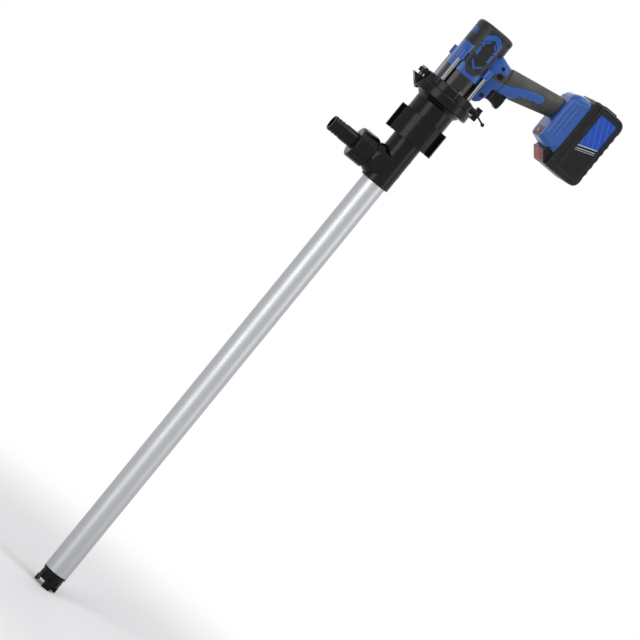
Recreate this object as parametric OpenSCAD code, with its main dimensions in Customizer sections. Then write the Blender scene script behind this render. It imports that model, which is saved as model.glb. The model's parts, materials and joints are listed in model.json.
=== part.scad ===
// Battery fuel transfer pump: a cordless driver on top of a 700 mm drum pump tube.
// +Z runs up the pump axis, the handle points to +X and the outlet to -X.
// The origin is on the pump axis, half way up the bare tube.

/* [Pump tube] */
// Outside diameter of the outer tube
tube_d = 38; // [32:0.5:44]
// Wall of the outer tube
tube_wall = 1.2; // [0.8:0.1:2]
// Length of the outer tube, with the part inside the outlet body
tube_len = 728; // [300:1:1200]
// Outside diameter of the shaft tube
inner_tube_d = 16; // [13:0.5:18]
// Wall of the shaft tube
inner_tube_wall = 1; // [0.7:0.1:1.5]
// Diameter of the drive shaft
shaft_d = 8; // [6:0.5:9]
// Number of bushes inside the shaft tube
guide_count = 3; // [1:1:6]

/* [Foot] */
// Height of the prongs that the foot stands on
prong_h = 9; // [5:0.5:16]
// Width of a prong
prong_w = 13; // [8:0.5:16]
// Thickness of a prong
prong_t = 3.5; // [2.5:0.5:4.5]
// Height of the strainer body
strainer_h = 14; // [10:0.5:24]
// How much smaller the strainer body is than the tube, on the radius
strainer_step = 1.5; // [0.5:0.1:2.5]
// Wall of the strainer body
strainer_wall = 2.4; // [1.8:0.1:3]
// Height of the ring that the tube stands on
foot_ring_h = 4; // [2:0.5:8]
// Number of inlet windows
window_count = 9; // [5:1:12]
// Number of impeller vanes
vane_count = 4; // [3:1:6]

/* [Outlet body] */
// Outside diameter of the outlet body
body_d = 46.4; // [42:0.2:52]
// Depth of the tube in its socket
socket_h = 15; // [10:1:24]
// Height of the outlet axis above the body's lower end
outlet_rise = 28; // [26:1:40]
// Height of the body up to its collar
collar_rise = 82.2; // [78:0.1:110]
// Diameter of the threaded branch
branch_d = 42; // [36:1:44]
// Length of the branch from the pump axis
branch_len = 46; // [42:1:70]
// Bore of the branch
branch_bore = 25; // [16:1:28]
// Outside diameter of the hose tail
tail_d = 24.8; // [20:0.2:28]
// Reach of the hose tail from the pump axis
tail_reach = 102.6; // [90:0.2:140]
// Wall of the hose tail
tail_wall = 3; // [2:0.5:4]
// Number of barbs on the hose tail
barb_count = 4; // [2:1:6]
// Length of the outlet nut
outlet_nut_len = 28.2; // [24:0.2:40]
// Reach of the outlet nut's wings from its axis
outlet_nut_r = 25; // [23.5:0.1:28]

/* [Union nut] */
// Height of the union nut
nut_h = 39; // [34:0.5:50]
// Radius of the union nut between its lobes
nut_hub_r = 34; // [32:0.5:36]
// Reach of the union nut's lobes
nut_lobe_r = 40.4; // [37:0.2:46]
// Number of lobes
lobe_count = 3; // [2:1:5]
// Share of the turn that the lobes fill
lobe_share = 0.77; // [0.5:0.01:0.9]

/* [Adapter] */
// Radius of the adapter's neck
neck_r = 31.3; // [30.5:0.1:34]
// Height of the neck above the nut
neck_h = 23; // [12:0.5:40]
// Radius of the flange
flange_r = 46.5; // [45:0.5:54]
// Height of the flange
flange_h = 16; // [12:0.5:24]
// Radius of the mounting plate
plate_r = 42; // [41:0.5:44]
// Height of the mounting plate
plate_h = 12.5; // [11:0.5:20]
// Distance of the ear bolt from the pump axis
ear_x = 47; // [46:0.5:52]
// Diameter of the tie posts
post_d = 6.8; // [5:0.1:8]
// Half the spacing of the tie posts, along X and Y
post_half = 23.9; // [23.7:0.1:26]

/* [Gearbox] */
// Radius of the gearbox case where it shows
case_r = 28.6; // [28:0.1:28.6]
// Height of the case that shows between the plate and the housing
case_show_h = 24; // [20:0.5:40]
// Teeth of the sun gear
sun_teeth = 12; // [12:3:12]
// Teeth of each planet gear
planet_teeth = 15; // [15:3:15]
// Gear module
gear_module = 1; // [0.9:0.02:1]
// Width of the gears
gear_w = 10; // [6:0.5:11]

/* [Driver head] */
// Length of the head along X
head_l = 59; // [58:0.5:66]
// Width of the head along Y
head_w = 56; // [55:0.5:60]
// Corner radius of the head seen from above
head_corner = 26; // [22:0.5:27]
// Height of the blue part of the head
head_h = 49; // [46:0.5:70]
// Height of the rear cap above it
cap_h = 31; // [28:0.5:40]
// Thickness of the side panels
panel_t = 1.5; // [0.8:0.1:2.5]
// Wall of the housing
wall = 2.4; // [1.8:0.1:3]

/* [Handle] */
// Height of the handle's section at the head
handle_h0 = 43; // [38:0.5:50]
// Height of the handle's section at the battery
handle_h1 = 31; // [28:0.5:38]
// Width of the handle
handle_w = 31; // [29:0.5:38]
// Rise of the handle's axis from the head to the battery foot
handle_rise = 26; // [10:0.5:36]
// Thickness of the rubber sleeve
sleeve_t = 1.3; // [0.8:0.1:2]
// Travel of the trigger
trigger_travel = 5; // [3:0.5:7]
// Width of the trigger
trigger_w = 17; // [12:0.5:20]

/* [Battery] */
// Distance of the battery foot's front face from the pump axis
foot_x = 138; // [130:1:160]
// Depth of the battery foot
foot_l = 29; // [28:0.5:40]
// Width of the battery foot
foot_w = 70; // [66:1:80]
// Height of the battery foot
foot_h = 93; // [88:1:110]
// Depth of the battery pack
pack_l = 56.5; // [54:0.5:80]
// Width of the battery pack
pack_w = 74; // [72:1:84]
// Height of the battery pack
pack_h = 118.6; // [112:0.2:140]
// Diameter of a cell
cell_d = 18.4; // [16:0.2:18.4]
// Length of a cell
cell_len = 65; // [50:1:65]

/* [Hidden] */

$fn = 64;
hull_fn = 32;
// Overrun of every cut
cut = 1;
// Clearance of pieces that are pressed or glued together
fit = 0.03;
// Running clearance of round fits
run = 0.06;
// Clearance beside pieces that slide or lift off
gap = 0.3;

// Colours
black = [0.05, 0.05, 0.055];
aluminium = [0.74, 0.75, 0.77];
steel = [0.6, 0.61, 0.63];
chrome = [0.85, 0.86, 0.88];
blue = [0.1, 0.25, 0.68];
charcoal = [0.12, 0.125, 0.12];
rubber = [0.16, 0.16, 0.14];
red = [0.75, 0.06, 0.05];
bronze = [0.66, 0.46, 0.22];
white = [0.85, 0.85, 0.82];

// Heights up the pump axis
tube_r = tube_d / 2;
tube_bore_r = tube_r - tube_wall;
tube_bare = tube_len - socket_h;
z_body = tube_bare / 2;
z_tube = -tube_bare / 2;
z_tube_top = z_tube + tube_len;
z_ring = z_tube - foot_ring_h;
z_strainer = z_ring - strainer_h;
z_floor = z_strainer - prong_h;
z_outlet = z_body + outlet_rise;
z_collar = z_body + collar_rise;

// Foot and impeller
strainer_r = tube_r - strainer_step;
strainer_bore_r = strainer_r - strainer_wall;
foot_inset = 0.3;
foot_r = tube_r - foot_inset;
foot_spigot_h = 10;
prong_count = 3;
prong_turn = -95;
window_h = strainer_h / 2;
window_rise = 2.3;
window_w = 4;
impeller_gap = 0.5;
impeller_h = 14;
impeller_hub_r = 6.5;
vane_t = 1.8;
vane_pitch = 48;
impeller_nut_h = 5;
impeller_nut_r = 5.8;
impeller_thread_d = 5;
z_impeller = z_strainer + strainer_h / 2;
z_shaft_end = z_impeller - impeller_nut_h - impeller_gap;

// Spider and bushes
spider_h = 16;
spider_gap = 1;
z_spider = z_tube + foot_spigot_h + spider_gap;
spider_ring_t = 1.6;
spider_vane_t = 1.8;
spider_vanes = 3;
bush_wall = 2;
bush_h = 7;
guide_h = 12;
// The tube is turned down a little inside the outlet body's socket
socket_step = 0.3;
shaft_r = shaft_d / 2;
inner_tube_r = inner_tube_d / 2;
inner_bore_r = inner_tube_r - inner_tube_wall;
spider_hub_r = inner_tube_r + spider_vane_t;
z_inner_tube = z_spider + bush_h + bush_wall;

// Inside of the outlet body
body_r = body_d / 2;
chamber_h = 58;
chamber_step = 0.6;
chamber_r = tube_bore_r - chamber_step;
seat_h = 10;
z_chamber_top = z_body + chamber_h;
z_seat_top = z_chamber_top + seat_h;
shaft_hole_h = 3.5;
z_seal = z_seat_top + shaft_hole_h;
// A 608 bearing and a seal of the same outside diameter
bearing_d = 22;
bearing_h = 7;
seal_h = 6;
seal_lip = 1.2;
z_bearing = z_seal + seal_h + gap;
collar_h = 6;
collar_r = 29.3;
spigot_h = 7.8;
spigot_r = 21.9;
z_seat = z_collar + collar_h;
z_spigot_top = z_seat + spigot_h;
o_ring_t = 2.3;
band_h = 3;
band_t = 0.4;
band_rises = [26, 53];
flare_wall = 2.4;
flare_r = 26.4;
flare_x0 = body_r - flare_wall;
flare_x1 = 32;
foot_chamfer = 1.2;

// Outlet branch, gasket, tail and nut, measured from the pump axis towards the outlet
branch_r = branch_d / 2;
gasket_t = 1.6;
tail_flange_t = 3.5;
tail_flange_r = branch_r - band_t;
tail_r = tail_d / 2;
tail_bore_r = tail_r - tail_wall;
outlet_nut_wall = 1.6;
outlet_nut_x = flare_x1 + gap;
outlet_nut_end = outlet_nut_x + outlet_nut_len;
outlet_lobes = 4;
outlet_lobe_share = 0.62;
tail_x0 = branch_len + gasket_t;
tail_plain = 19;
// The tail is a little thicker where the nut turns on it
tail_step = 0.4;
barb_depth = 1.2;
barb_inset = 0.25;
// Where a barb's crest starts and ends in its pitch
barb_crest_shares = [0.2, 0.35];

// Union nut and its slip ring
slip_t = 1.5;
slip_gap = 0.1;
nut_lip_h = 6;
z_nut = z_collar - slip_t - 2 * slip_gap - nut_lip_h;
z_nut_top = z_nut + nut_h;
nut_bore_r = 30;
lip_bore_r = body_r + band_t + gap;
lobe_front = -109;
nut_edge = 1.5;
lobe_bead_t = 0.6;
lobe_bead_angle = 5;

// Adapter
z_neck = z_nut_top + gap;
z_cone = z_neck + neck_h;
cone_h = 6;
cone_flare_share = 0.85;
z_flange = z_cone + cone_h;
z_plate = z_flange + flange_h;
z_plate_top = z_plate + plate_h;
web_h = 3;
hold_ring_r = bearing_d / 2 - run;
hold_ring_bore = 8;
adapter_bore_r = 20;
cone_r = neck_r + cone_h * cone_flare_share;
flange_edge = 3.5;
flange_chamfer = 1.2;
lower_ear_drop = 16;
lower_ear_reach = 10;
ear_w = 12;
ear_r = 7;
ear_t = 6.6;
ear_rise = 3;
rib_r = 7;
rib_x = 37.5;
rib_h = 9;
rib_rise = 2;
screw_angles = [-80, 100];
post_angles = [-135, -45, 45, 135];
plate_screw_r = 2.5;
plate_screw_head_r = 4.25;
plate_screw_head_h = 4;
plate_screw_depth = 9;
ledge_h = 3;
ledge_r = 22;
ear_bolt_r = 3.5;
ear_bolt_head_r = 5.5;
// A socket's radius as a share of its screw's
socket_share = 0.9;
ear_bolt_head_h = 3;

// Clamp screw on the flange's handle side
clamp_rise = 6.4;
z_clamp = z_plate + clamp_rise;
clamp_r = 3;
clamp_boss_r = 5.4;
clamp_boss_x = 47;
pad_r = 3.8;
pad_t = 2;
pad_gap = 0.1;
pad_travel = 3.75;
head_gap = 1;
head_x = clamp_boss_x + head_gap;
head_t = 8.5;
head_hub_r = 5.5;
wing_reach = 9.9;
wing_t = 6;
slot_half = 1.6;
slot_floor = 2;
pivot_back = 3;
pivot_x = head_x + head_t - pivot_back;
pivot_r = 1;
eye_r = 2.6;
handle_bar_r = 1.4;
handle_bar_len = 17;
handle_ball_r = 2.9;
handle_bar_drop = 20;

// Gearbox and motor
z_case = z_plate + ledge_h;
case_floor = 3;
case_step = 0.5;
carrier_gap = 1;
gear_gap = 0.5;
gear_plate_gap = 1.5;
neck_gap = 0.5;
out_shaft_r = 5;
out_bearing_r = 13;
out_bearing_h = 8;
z_out_bearing = z_case + case_floor;
z_case_room = z_out_bearing + out_bearing_h + case_step;
case_room_r = 24.6;
case_neck_r = 26.2;
z_housing = z_plate_top + case_show_h;
case_neck_h = 21;
carrier_h = 3.5;
carrier_r = 19;
z_carrier = z_case_room + carrier_gap;
z_gears = z_carrier + carrier_h + gear_gap;
ring_teeth = sun_teeth + 2 * planet_teeth;
orbit_r = gear_module * (sun_teeth + planet_teeth) / 2;
pin_r = 2;
motor_shaft_r = 2.5;
backlash = 0.14;
pressure_angle = 20;
outer_addendum = 0.8;
ring_addendum = 0.7;
dedendum = 1.25;
flank_shares = [0, 0.25, 0.5, 0.75, 1];
planet_count = 3;
motor_plate_h = 7;
z_motor_plate = z_gears + gear_w + gear_plate_gap;
small_bearing_r = 8;
small_bearing_h = 5;
bearing_floor = 1.5;
z_front_bearing = z_motor_plate + bearing_floor;
shaft_room = 1.2;
stator_r = 23;
stator_bore_r = 12.4;
stator_h = 30;
stator_back = 3.2;
stator_teeth = 6;
tooth_w = 6;
coil_w = 10.5;
coil_back = 2;
coil_over = 2;
stator_rise = 6;
z_stator = z_motor_plate + motor_plate_h + stator_rise;
rotor_r = 11.8;
fan_r = 21;
fan_h = 7;
fan_blades = 9;
fan_plate_t = 1.6;
fan_hub_wall = 2.4;
fan_blade_l = 9.7;
fan_blade_turn = 25;
fan_gap = 3;
z_fan = z_stator + stator_h + fan_gap;
// Coupling between the gearbox and the pump shaft
coupling_r = 15;
jaw_h = 8;
coupling_hub_h = 8;
coupling_rise = 5;
z_coupling = z_spigot_top + web_h + coupling_rise;
jaw_angle = 50;
jaw_slack = 2;
jaw_in_r = 6;

// Head, cap and panels
z_head_top = z_housing + head_h;
z_top = z_head_top + cap_h;
head_half_l = head_l / 2;
cap_edge = 5;
cap_step_h = 8;
cap_step_x = -14;
cap_join = 0.05;
case_seat_h = case_neck_h + neck_gap;
stator_seat_gap = 2;
stator_seat_h = z_fan - z_housing - case_seat_h - stator_seat_gap;
fan_room_r = 24.5;
cap_room_r = 23.4;
cap_boss_r = small_bearing_r + wall;
rear_bearing_drop = 24;
z_rear_bearing = z_top - rear_bearing_drop;
rear_bearing_back = 12;
panel_half = 17.7;
panel_rise_h = 6;
z_panel = z_housing + panel_rise_h;
panel_shoulder = 13;
// Lower end of a side panel: shares of its half width and of its shoulder's height
panel_end_shares = [[-1, 1], [-0.6, 0.33], [-0.34, 0], [0.34, 0], [0.6, 0.33], [1, 1]];
lug_r = 6;
lug_h = 14;
lug_rise = 14;
z_lug = z_housing + lug_rise;
post_seat_h = 9;
chin_half = 12;
chin_rise = 4.5;
z_chin = z_plate_top + chin_rise;
// Chin seen from the side, from its back edge: shares of its length and height
chin_shares = [[0, 1], [0.185, 0], [0.46, 0.02], [0.71, 0.12], [0.85, 0.33], [0.895, 0.64], [1, 1]];

// Handle, from its section in the head to its section in the battery foot
handle_x0 = head_half_l;
handle_x1 = foot_x + wall;
handle_seat_h = 24.5;
z_handle0 = z_housing + handle_seat_h;
z_handle1 = z_handle0 + handle_rise;
slope = (z_handle1 - z_handle0) / (handle_x1 - handle_x0);
disc_t = 0.4;
flare_len = 23;
flare_rise = 8;
z_flare_top = z_head_top + flare_rise;
flare_w = 36;
flare_back = 10;
sleeve_x0 = 53;
sleeve_x1 = foot_x - gap;
tongue_x1 = 116;
tongue_edge = 9;
// End of the blue tongue: shares of its edge, back from its tip and up from the handle's axis
tongue_end_shares = [[1, 0.5], [0.2, 0.1], [0, -0.5], [0.5, -1], [3, -1]];
tongue_root_shares = [2, 0.33];
belly_back = 36;
belly_x1 = tongue_x1 - belly_back;
belly_half = 9;
screw_r = 1.5;
screw_head_r = 3;
screw_head_h = 2.2;
screw_len = 20;
screw_y0 = -11;
boss_r = 3.6;
// Screws beside the head, and shares along the handle and up the foot of the others
screw_out = 8;
chin_screw_drop = 5;
head_screw_rise = 11;
handle_boss_shares = [[0.484, -0.11], [0.853, -0.09]];
foot_boss_x_share = 0.33;
foot_boss_shares = [0.763, 0.355];

// Trigger, switch and selector
trigger_x0 = 46.8;
trigger_x1 = 71;
trigger_drop = 8;
trigger_seat_h = 14.5;
z_trigger = z_housing - trigger_drop;
z_trigger_top = z_housing + trigger_seat_h;
// Trigger seen from the side: shares of its length and height
trigger_shares = [
    [0, 0.11], [0.165, 0.16], [0.42, 0.15], [0.665, 0.07], [0.81, 0], [0.9, 0.06], [1, 0.58], [1, 1], [0, 1]
];
spring_rest = 3.5;
switch_gap = trigger_travel + spring_rest;
switch_step = 1;
switch_h = 15;
switch_l = 23;
switch_w = 19;
spring_r = 3;
spring_wire = 0.6;
spring_turns = 5;
spring_steps = 12;
wire_fn = 6;
selector_x = 41;
selector_rise = 31;
z_selector = z_housing + selector_rise;
selector_l = 7;
selector_h = 6;
selector_half = 19.5;

// Battery foot: T slot for the pack's tongue
foot_x1 = foot_x + foot_l;
foot_drop = 7;
z_foot = z_housing - foot_drop;
z_foot_top = z_foot + foot_h;
foot_front_w = 50;
foot_front_drop = 9;
foot_front_rise = 12;
foot_round = 10;
tee_depth = 11;
tee_rise = 18;
tee_roof = 8;
tee_x0 = foot_x1 - tee_depth;
tee_head_t = 6.6;
tee_head_half = 27;
tee_stem_half = 23;
z_tee = z_foot + tee_rise;
z_tee_top = z_foot_top - tee_roof;
panel_w = 30;
panel_h = 15;
panel_d = 1.6;
panel_rise = 10;
panel_proud = 0.5;
button_r = 3.5;
button_travel = 0.8;

// Battery pack
pack_gap = 0.4;
pack_drop = 16.6;
pack_x = foot_x1 + pack_gap;
pack_x1 = pack_x + pack_l;
z_pack = z_foot - pack_drop;
z_pack_top = z_pack + pack_h;
cover_l = 10.5;
cover_x1 = pack_x + cover_l;
pack_edge = 2.5;
pack_corner = 9;
pack_wall = 2.6;
nose_l = 14;
nose_h = 31.6;
nose_gap = 2;
// Nose of the pack, from its root to its lower end: shares of its length and height
nose_shares = [[0, 1], [0.71, 0.75], [1, 0.46], [0.11, 0.016]];
pack_end = 1.5;
pack_back_drop = 14.4;
pack_top_edge = 1;
recess = 0.8;
label_margin = 9;
label_h = 91.6;
cell_gap = 0.4;
cell_pitch = cell_d + cell_gap;
cell_rows = 2;
cell_room = 22;
cell_count = floor((pack_h - cell_room) / cell_pitch);
bar_t = 2.6;
bar_l = 15;
bar_gap = 7;
button_w = 26;
red_t = 6;
red_len = 17;
red_proud = 1.2;
red_travel = 2.5;
red_ribs = 5;
board_back = 5;
board_t = 1.6;
board_drop = 9;
blade_count = 4;
blade_l = 9;
blade_w = 8;
blade_thick = 1;

// Ring or sleeve standing on z = 0
module ring(r_out, r_in, h) {
    difference() {
        cylinder(r = r_out, h = h);
        translate([0, 0, -cut]) cylinder(r = r_in, h = h + 2 * cut);
    }
}

// Turns a shape that stands on z = 0 so that it lies along -X at the outlet's height
module at_outlet(x) {
    translate([-x, 0, z_outlet]) rotate([0, -90, 0]) children();
}

// Rectangle with round corners, made of plain shapes so that its corners stay true arcs
module round_rect(l, w, r) {
    square([l, w - 2 * r], center = true);
    square([l - 2 * r, w], center = true);
    for (x = [-1, 1], y = [-1, 1]) translate([x * (l / 2 - r), y * (w / 2 - r)]) circle(r = r);
}

// Flat shape drawn in X and Z, with its thickness centred on y = 0
module side_plate(half) {
    rotate([90, 0, 0]) translate([0, 0, -half]) linear_extrude(height = 2 * half) children();
}

// Flat shape drawn in X and Z, carried from y = y0 to y = y1
module side_span(y0, y1) {
    translate([0, y1, 0]) rotate([90, 0, 0]) linear_extrude(height = y1 - y0) children();
}

// Wedge of a disc about the X axis, a little larger than the disc that it cuts
sector_steps = 4;
sector_share = 1.3;

module sector(r, angle) {
    polygon([
        [0, 0],
        for (i = [-sector_steps : 2 : sector_steps]) sector_share * r * [
            cos(angle * i / sector_steps / 2), sin(angle * i / sector_steps / 2)
        ]
    ]);
}

// Points of an outline from shares of a length and a height
function placed(shares, x0, z0, l, h) = [for (s = shares) [x0 + l * s[0], z0 + h * s[1]]];

// Ball bearing: two races with a shield between them
land_share = 0.3;
shield_share = 0.125;

module bearing(r_out, r_in, h) {
    land = (r_out - r_in) * land_share;
    shield = h * shield_share;
    ring(r_out, r_out - land, h);
    ring(r_in + land, r_in, h);
    translate([0, 0, shield]) ring(r_out - land, r_in + land, h - 2 * shield);
}

// Foot

module foot_strainer() {
    color(black) difference() {
        union() {
            for (i = [0 : prong_count - 1]) rotate([0, 0, prong_turn + i * 360 / prong_count])
                translate([0, 0, z_floor]) intersection() {
                    cylinder(r = foot_r, h = prong_h + cut);
                    translate([foot_r - prong_t, -prong_w / 2, 0]) cube([prong_t, prong_w, prong_h + cut]);
                }
            translate([0, 0, z_strainer]) cylinder(r = strainer_r, h = strainer_h + cut);
            translate([0, 0, z_ring]) cylinder(r = foot_r, h = foot_ring_h);
            translate([0, 0, z_ring]) cylinder(r = tube_bore_r - fit, h = foot_ring_h + foot_spigot_h);
        }
        translate([0, 0, z_strainer - cut])
            cylinder(r = strainer_bore_r, h = strainer_h + foot_ring_h + foot_spigot_h + 2 * cut);
        for (i = [0 : window_count - 1]) rotate([0, 0, (i + 0.5) * 360 / window_count])
            translate([strainer_bore_r - cut, -window_w / 2, z_strainer + window_rise])
                cube([strainer_wall + 2 * cut, window_w, window_h]);
    }
}

module impeller() {
    color(white) translate([0, 0, z_impeller]) difference() {
        union() {
            cylinder(r = impeller_hub_r, h = impeller_h);
            intersection() {
                cylinder(r = strainer_bore_r - impeller_gap, h = impeller_h);
                for (i = [0 : vane_count - 1]) rotate([0, 0, i * 360 / vane_count])
                    translate([0, 0, impeller_h / 2]) rotate([vane_pitch, 0, 0])
                        translate([0, -vane_t / 2, -impeller_h])
                            cube([strainer_bore_r, vane_t, 2 * impeller_h]);
            }
        }
        translate([0, 0, -cut]) cylinder(r = shaft_r + fit, h = impeller_h + 2 * cut);
    }
}

module impeller_nut() {
    color(steel) translate([0, 0, z_impeller - impeller_nut_h]) difference() {
        cylinder(r = impeller_nut_r, h = impeller_nut_h, $fn = 6);
        translate([0, 0, -cut]) cylinder(d = impeller_thread_d + 2 * fit, h = impeller_nut_h + 2 * cut);
    }
}

module lower_bearing_spider() {
    color(black) translate([0, 0, z_spider]) difference() {
        linear_extrude(height = spider_h) difference() {
            circle(r = tube_bore_r - fit);
            difference() {
                circle(r = tube_bore_r - spider_ring_t);
                circle(r = spider_hub_r);
                for (i = [0 : spider_vanes - 1]) rotate((2 * i + 1) * 180 / spider_vanes)
                    translate([0, -spider_vane_t / 2]) square([tube_r, spider_vane_t]);
            }
        }
        translate([0, 0, -cut]) cylinder(r = shaft_r + bush_wall + fit, h = bush_h + cut);
        translate([0, 0, -cut]) cylinder(r = shaft_r + bush_wall / 2, h = spider_h + 2 * cut);
        translate([0, 0, z_inner_tube - z_spider])
            cylinder(r = inner_tube_r + fit, h = spider_h);
    }
}

module shaft_bushes() {
    step = (z_seat_top - z_inner_tube) / (guide_count + 1);
    color(bronze) {
        translate([0, 0, z_spider]) ring(shaft_r + bush_wall, shaft_r + run, bush_h);
        for (i = [1 : guide_count]) translate([0, 0, z_inner_tube + i * step])
            ring(inner_bore_r - fit, shaft_r + run, guide_h);
    }
}

// Tubes and shaft

module outer_tube() {
    color(aluminium) translate([0, 0, z_tube]) {
        ring(tube_r, tube_bore_r, tube_bare);
        ring(tube_r - socket_step, tube_bore_r, tube_len);
    }
}

module inner_tube() {
    color(steel) translate([0, 0, z_inner_tube])
        ring(inner_tube_r, inner_bore_r, z_seat_top - z_inner_tube);
}

module drive_shaft() {
    color(steel) {
        translate([0, 0, z_impeller])
            cylinder(r = shaft_r, h = z_coupling + coupling_hub_h - z_impeller);
        translate([0, 0, z_shaft_end])
            cylinder(d = impeller_thread_d, h = z_impeller - z_shaft_end + cut);
    }
}

// Outlet

module outlet_body() {
    color(black) difference() {
        union() {
            translate([0, 0, z_body]) cylinder(r1 = body_r - foot_chamfer, r2 = body_r, h = foot_chamfer);
            translate([0, 0, z_body + foot_chamfer]) cylinder(r = body_r, h = collar_rise - foot_chamfer);
            for (rise = band_rises) translate([0, 0, z_body + rise - band_h / 2])
                cylinder(r = body_r + band_t, h = band_h);
            translate([0, 0, z_collar]) cylinder(r = collar_r, h = collar_h);
            translate([0, 0, z_seat]) cylinder(r = spigot_r, h = spigot_h);
            intersection() {
                union() {
                    at_outlet(0) cylinder(r = branch_r - band_t, h = branch_len);
                    at_outlet(flare_x0)
                        cylinder(r1 = flare_r, r2 = branch_r, h = flare_x1 - flare_x0);
                    at_outlet(0) cylinder(r = flare_r, h = flare_x0);
                }
                translate([-branch_len - cut, -body_r, z_body])
                    cube([branch_len + cut, body_d, collar_rise - slip_t]);
            }
        }
        translate([0, 0, z_body - cut]) cylinder(r = tube_r - socket_step + fit, h = socket_h + cut);
        translate([0, 0, z_tube_top - cut]) cylinder(r = chamber_r, h = z_chamber_top - z_tube_top + cut);
        translate([0, 0, z_chamber_top - cut]) cylinder(r = inner_tube_r + fit, h = seat_h + cut);
        translate([0, 0, z_seat_top - cut]) cylinder(r = shaft_r + gap, h = shaft_hole_h + 2 * cut);
        translate([0, 0, z_seal]) cylinder(d = bearing_d + 2 * fit, h = z_spigot_top - z_seal + cut);
        at_outlet(inner_tube_r + cut) cylinder(d = branch_bore, h = branch_len);
        translate([0, 0, z_seat + (spigot_h - o_ring_t) / 2])
            ring(spigot_r + cut, spigot_r - o_ring_t, o_ring_t + gap);
    }
}

module outlet_gasket() {
    color(rubber) at_outlet(branch_len)
        ring(branch_r - 2 * band_t, branch_bore / 2, gasket_t);
}

module hose_tail() {
    plain_end = outlet_nut_end + tail_plain - tail_x0;
    barb_zone = tail_reach - tail_x0 - plain_end;
    pitch = barb_zone / barb_count;
    crest = pitch * barb_crest_shares;
    color(black) at_outlet(tail_x0) difference() {
        union() {
            cylinder(r = tail_flange_r, h = tail_flange_t);
            cylinder(r = tail_r + tail_step, h = outlet_nut_end - tail_x0);
            cylinder(r = tail_r, h = plain_end);
            translate([0, 0, plain_end - cut]) cylinder(r = tail_r - barb_depth, h = barb_zone + cut);
            for (i = [0 : barb_count - 1]) translate([0, 0, plain_end + i * pitch]) {
                translate([0, 0, crest[0]]) cylinder(r = tail_r - barb_inset, h = crest[1] - crest[0]);
                translate([0, 0, crest[1]])
                    cylinder(r1 = tail_r - barb_inset, r2 = tail_r - barb_depth, h = pitch - crest[1]);
            }
        }
        translate([0, 0, -cut]) cylinder(r = tail_bore_r, h = tail_reach - tail_x0 + 2 * cut);
    }
}

// Lobes of a hand nut outside its hub: wedges of a disc, thickened a little along their edges
module lobes(r, hub, bead, count, share, edge_angle) {
    span = share * 360 / count;
    for (i = [0 : count - 1]) rotate([0, 0, i * 360 / count]) difference() {
        union() {
            intersection() {
                circle(r = r - bead);
                sector(r, span);
            }
            for (s = [-1, 1]) rotate([0, 0, s * (span - edge_angle) / 2]) intersection() {
                circle(r = r);
                sector(r, edge_angle);
            }
        }
        circle(r = hub);
    }
}

module outlet_wing_nut() {
    lip = tail_x0 + tail_flange_t + gap - outlet_nut_x;
    color(black) at_outlet(outlet_nut_x) difference() {
        union() {
            cylinder(r = branch_r + outlet_nut_wall, h = outlet_nut_len - nut_edge);
            translate([0, 0, outlet_nut_len - nut_edge])
                cylinder(r1 = branch_r + outlet_nut_wall, r2 = branch_r, h = nut_edge);
            linear_extrude(height = outlet_nut_len - 2 * nut_edge)
                lobes(
                    outlet_nut_r, branch_r + outlet_nut_wall / 2, lobe_bead_t, outlet_lobes,
                    outlet_lobe_share, 2 * lobe_bead_angle
                );
        }
        translate([0, 0, -cut]) cylinder(r = branch_r + run, h = lip + cut);
        translate([0, 0, -cut]) cylinder(r = tail_r + tail_step + run, h = outlet_nut_len + 2 * cut);
    }
}

// Top of the pump tube

module shaft_seal() {
    color(rubber) translate([0, 0, z_seal]) {
        ring(bearing_d / 2, bearing_d / 2 - seal_lip, seal_h);
        ring(bearing_d / 2, shaft_r + run, seal_lip);
        translate([0, 0, seal_lip]) ring(shaft_r + run + seal_lip, shaft_r + run, seal_h - 2 * seal_lip);
    }
}

module upper_bearing() {
    color(steel) translate([0, 0, z_bearing]) bearing(bearing_d / 2, shaft_r + run, bearing_h);
}

module spigot_o_ring() {
    color(rubber) translate([0, 0, z_seat + (spigot_h + gap) / 2]) rotate_extrude()
        translate([spigot_r - o_ring_t / 2, 0]) circle(d = o_ring_t - fit);
}

module nut_slip_ring() {
    color(white) translate([0, 0, z_nut + nut_lip_h + slip_gap])
        ring(nut_bore_r - gap, lip_bore_r, slip_t);
}

module tube_wing_nut() {
    color(black) translate([0, 0, z_nut]) difference() {
        union() {
            cylinder(r1 = nut_hub_r - nut_edge, r2 = nut_hub_r, h = nut_edge);
            translate([0, 0, nut_edge]) cylinder(r = nut_hub_r, h = nut_h - nut_edge);
            rotate([0, 0, lobe_front]) linear_extrude(height = nut_h)
                lobes(
                    nut_lobe_r, nut_hub_r - nut_edge, lobe_bead_t, lobe_count, lobe_share, lobe_bead_angle
                );
        }
        translate([0, 0, -cut]) cylinder(r = lip_bore_r, h = nut_h + 2 * cut);
        translate([0, 0, nut_lip_h]) cylinder(r = nut_bore_r, h = nut_h);
    }
}

// Adapter and mounting plate

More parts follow.
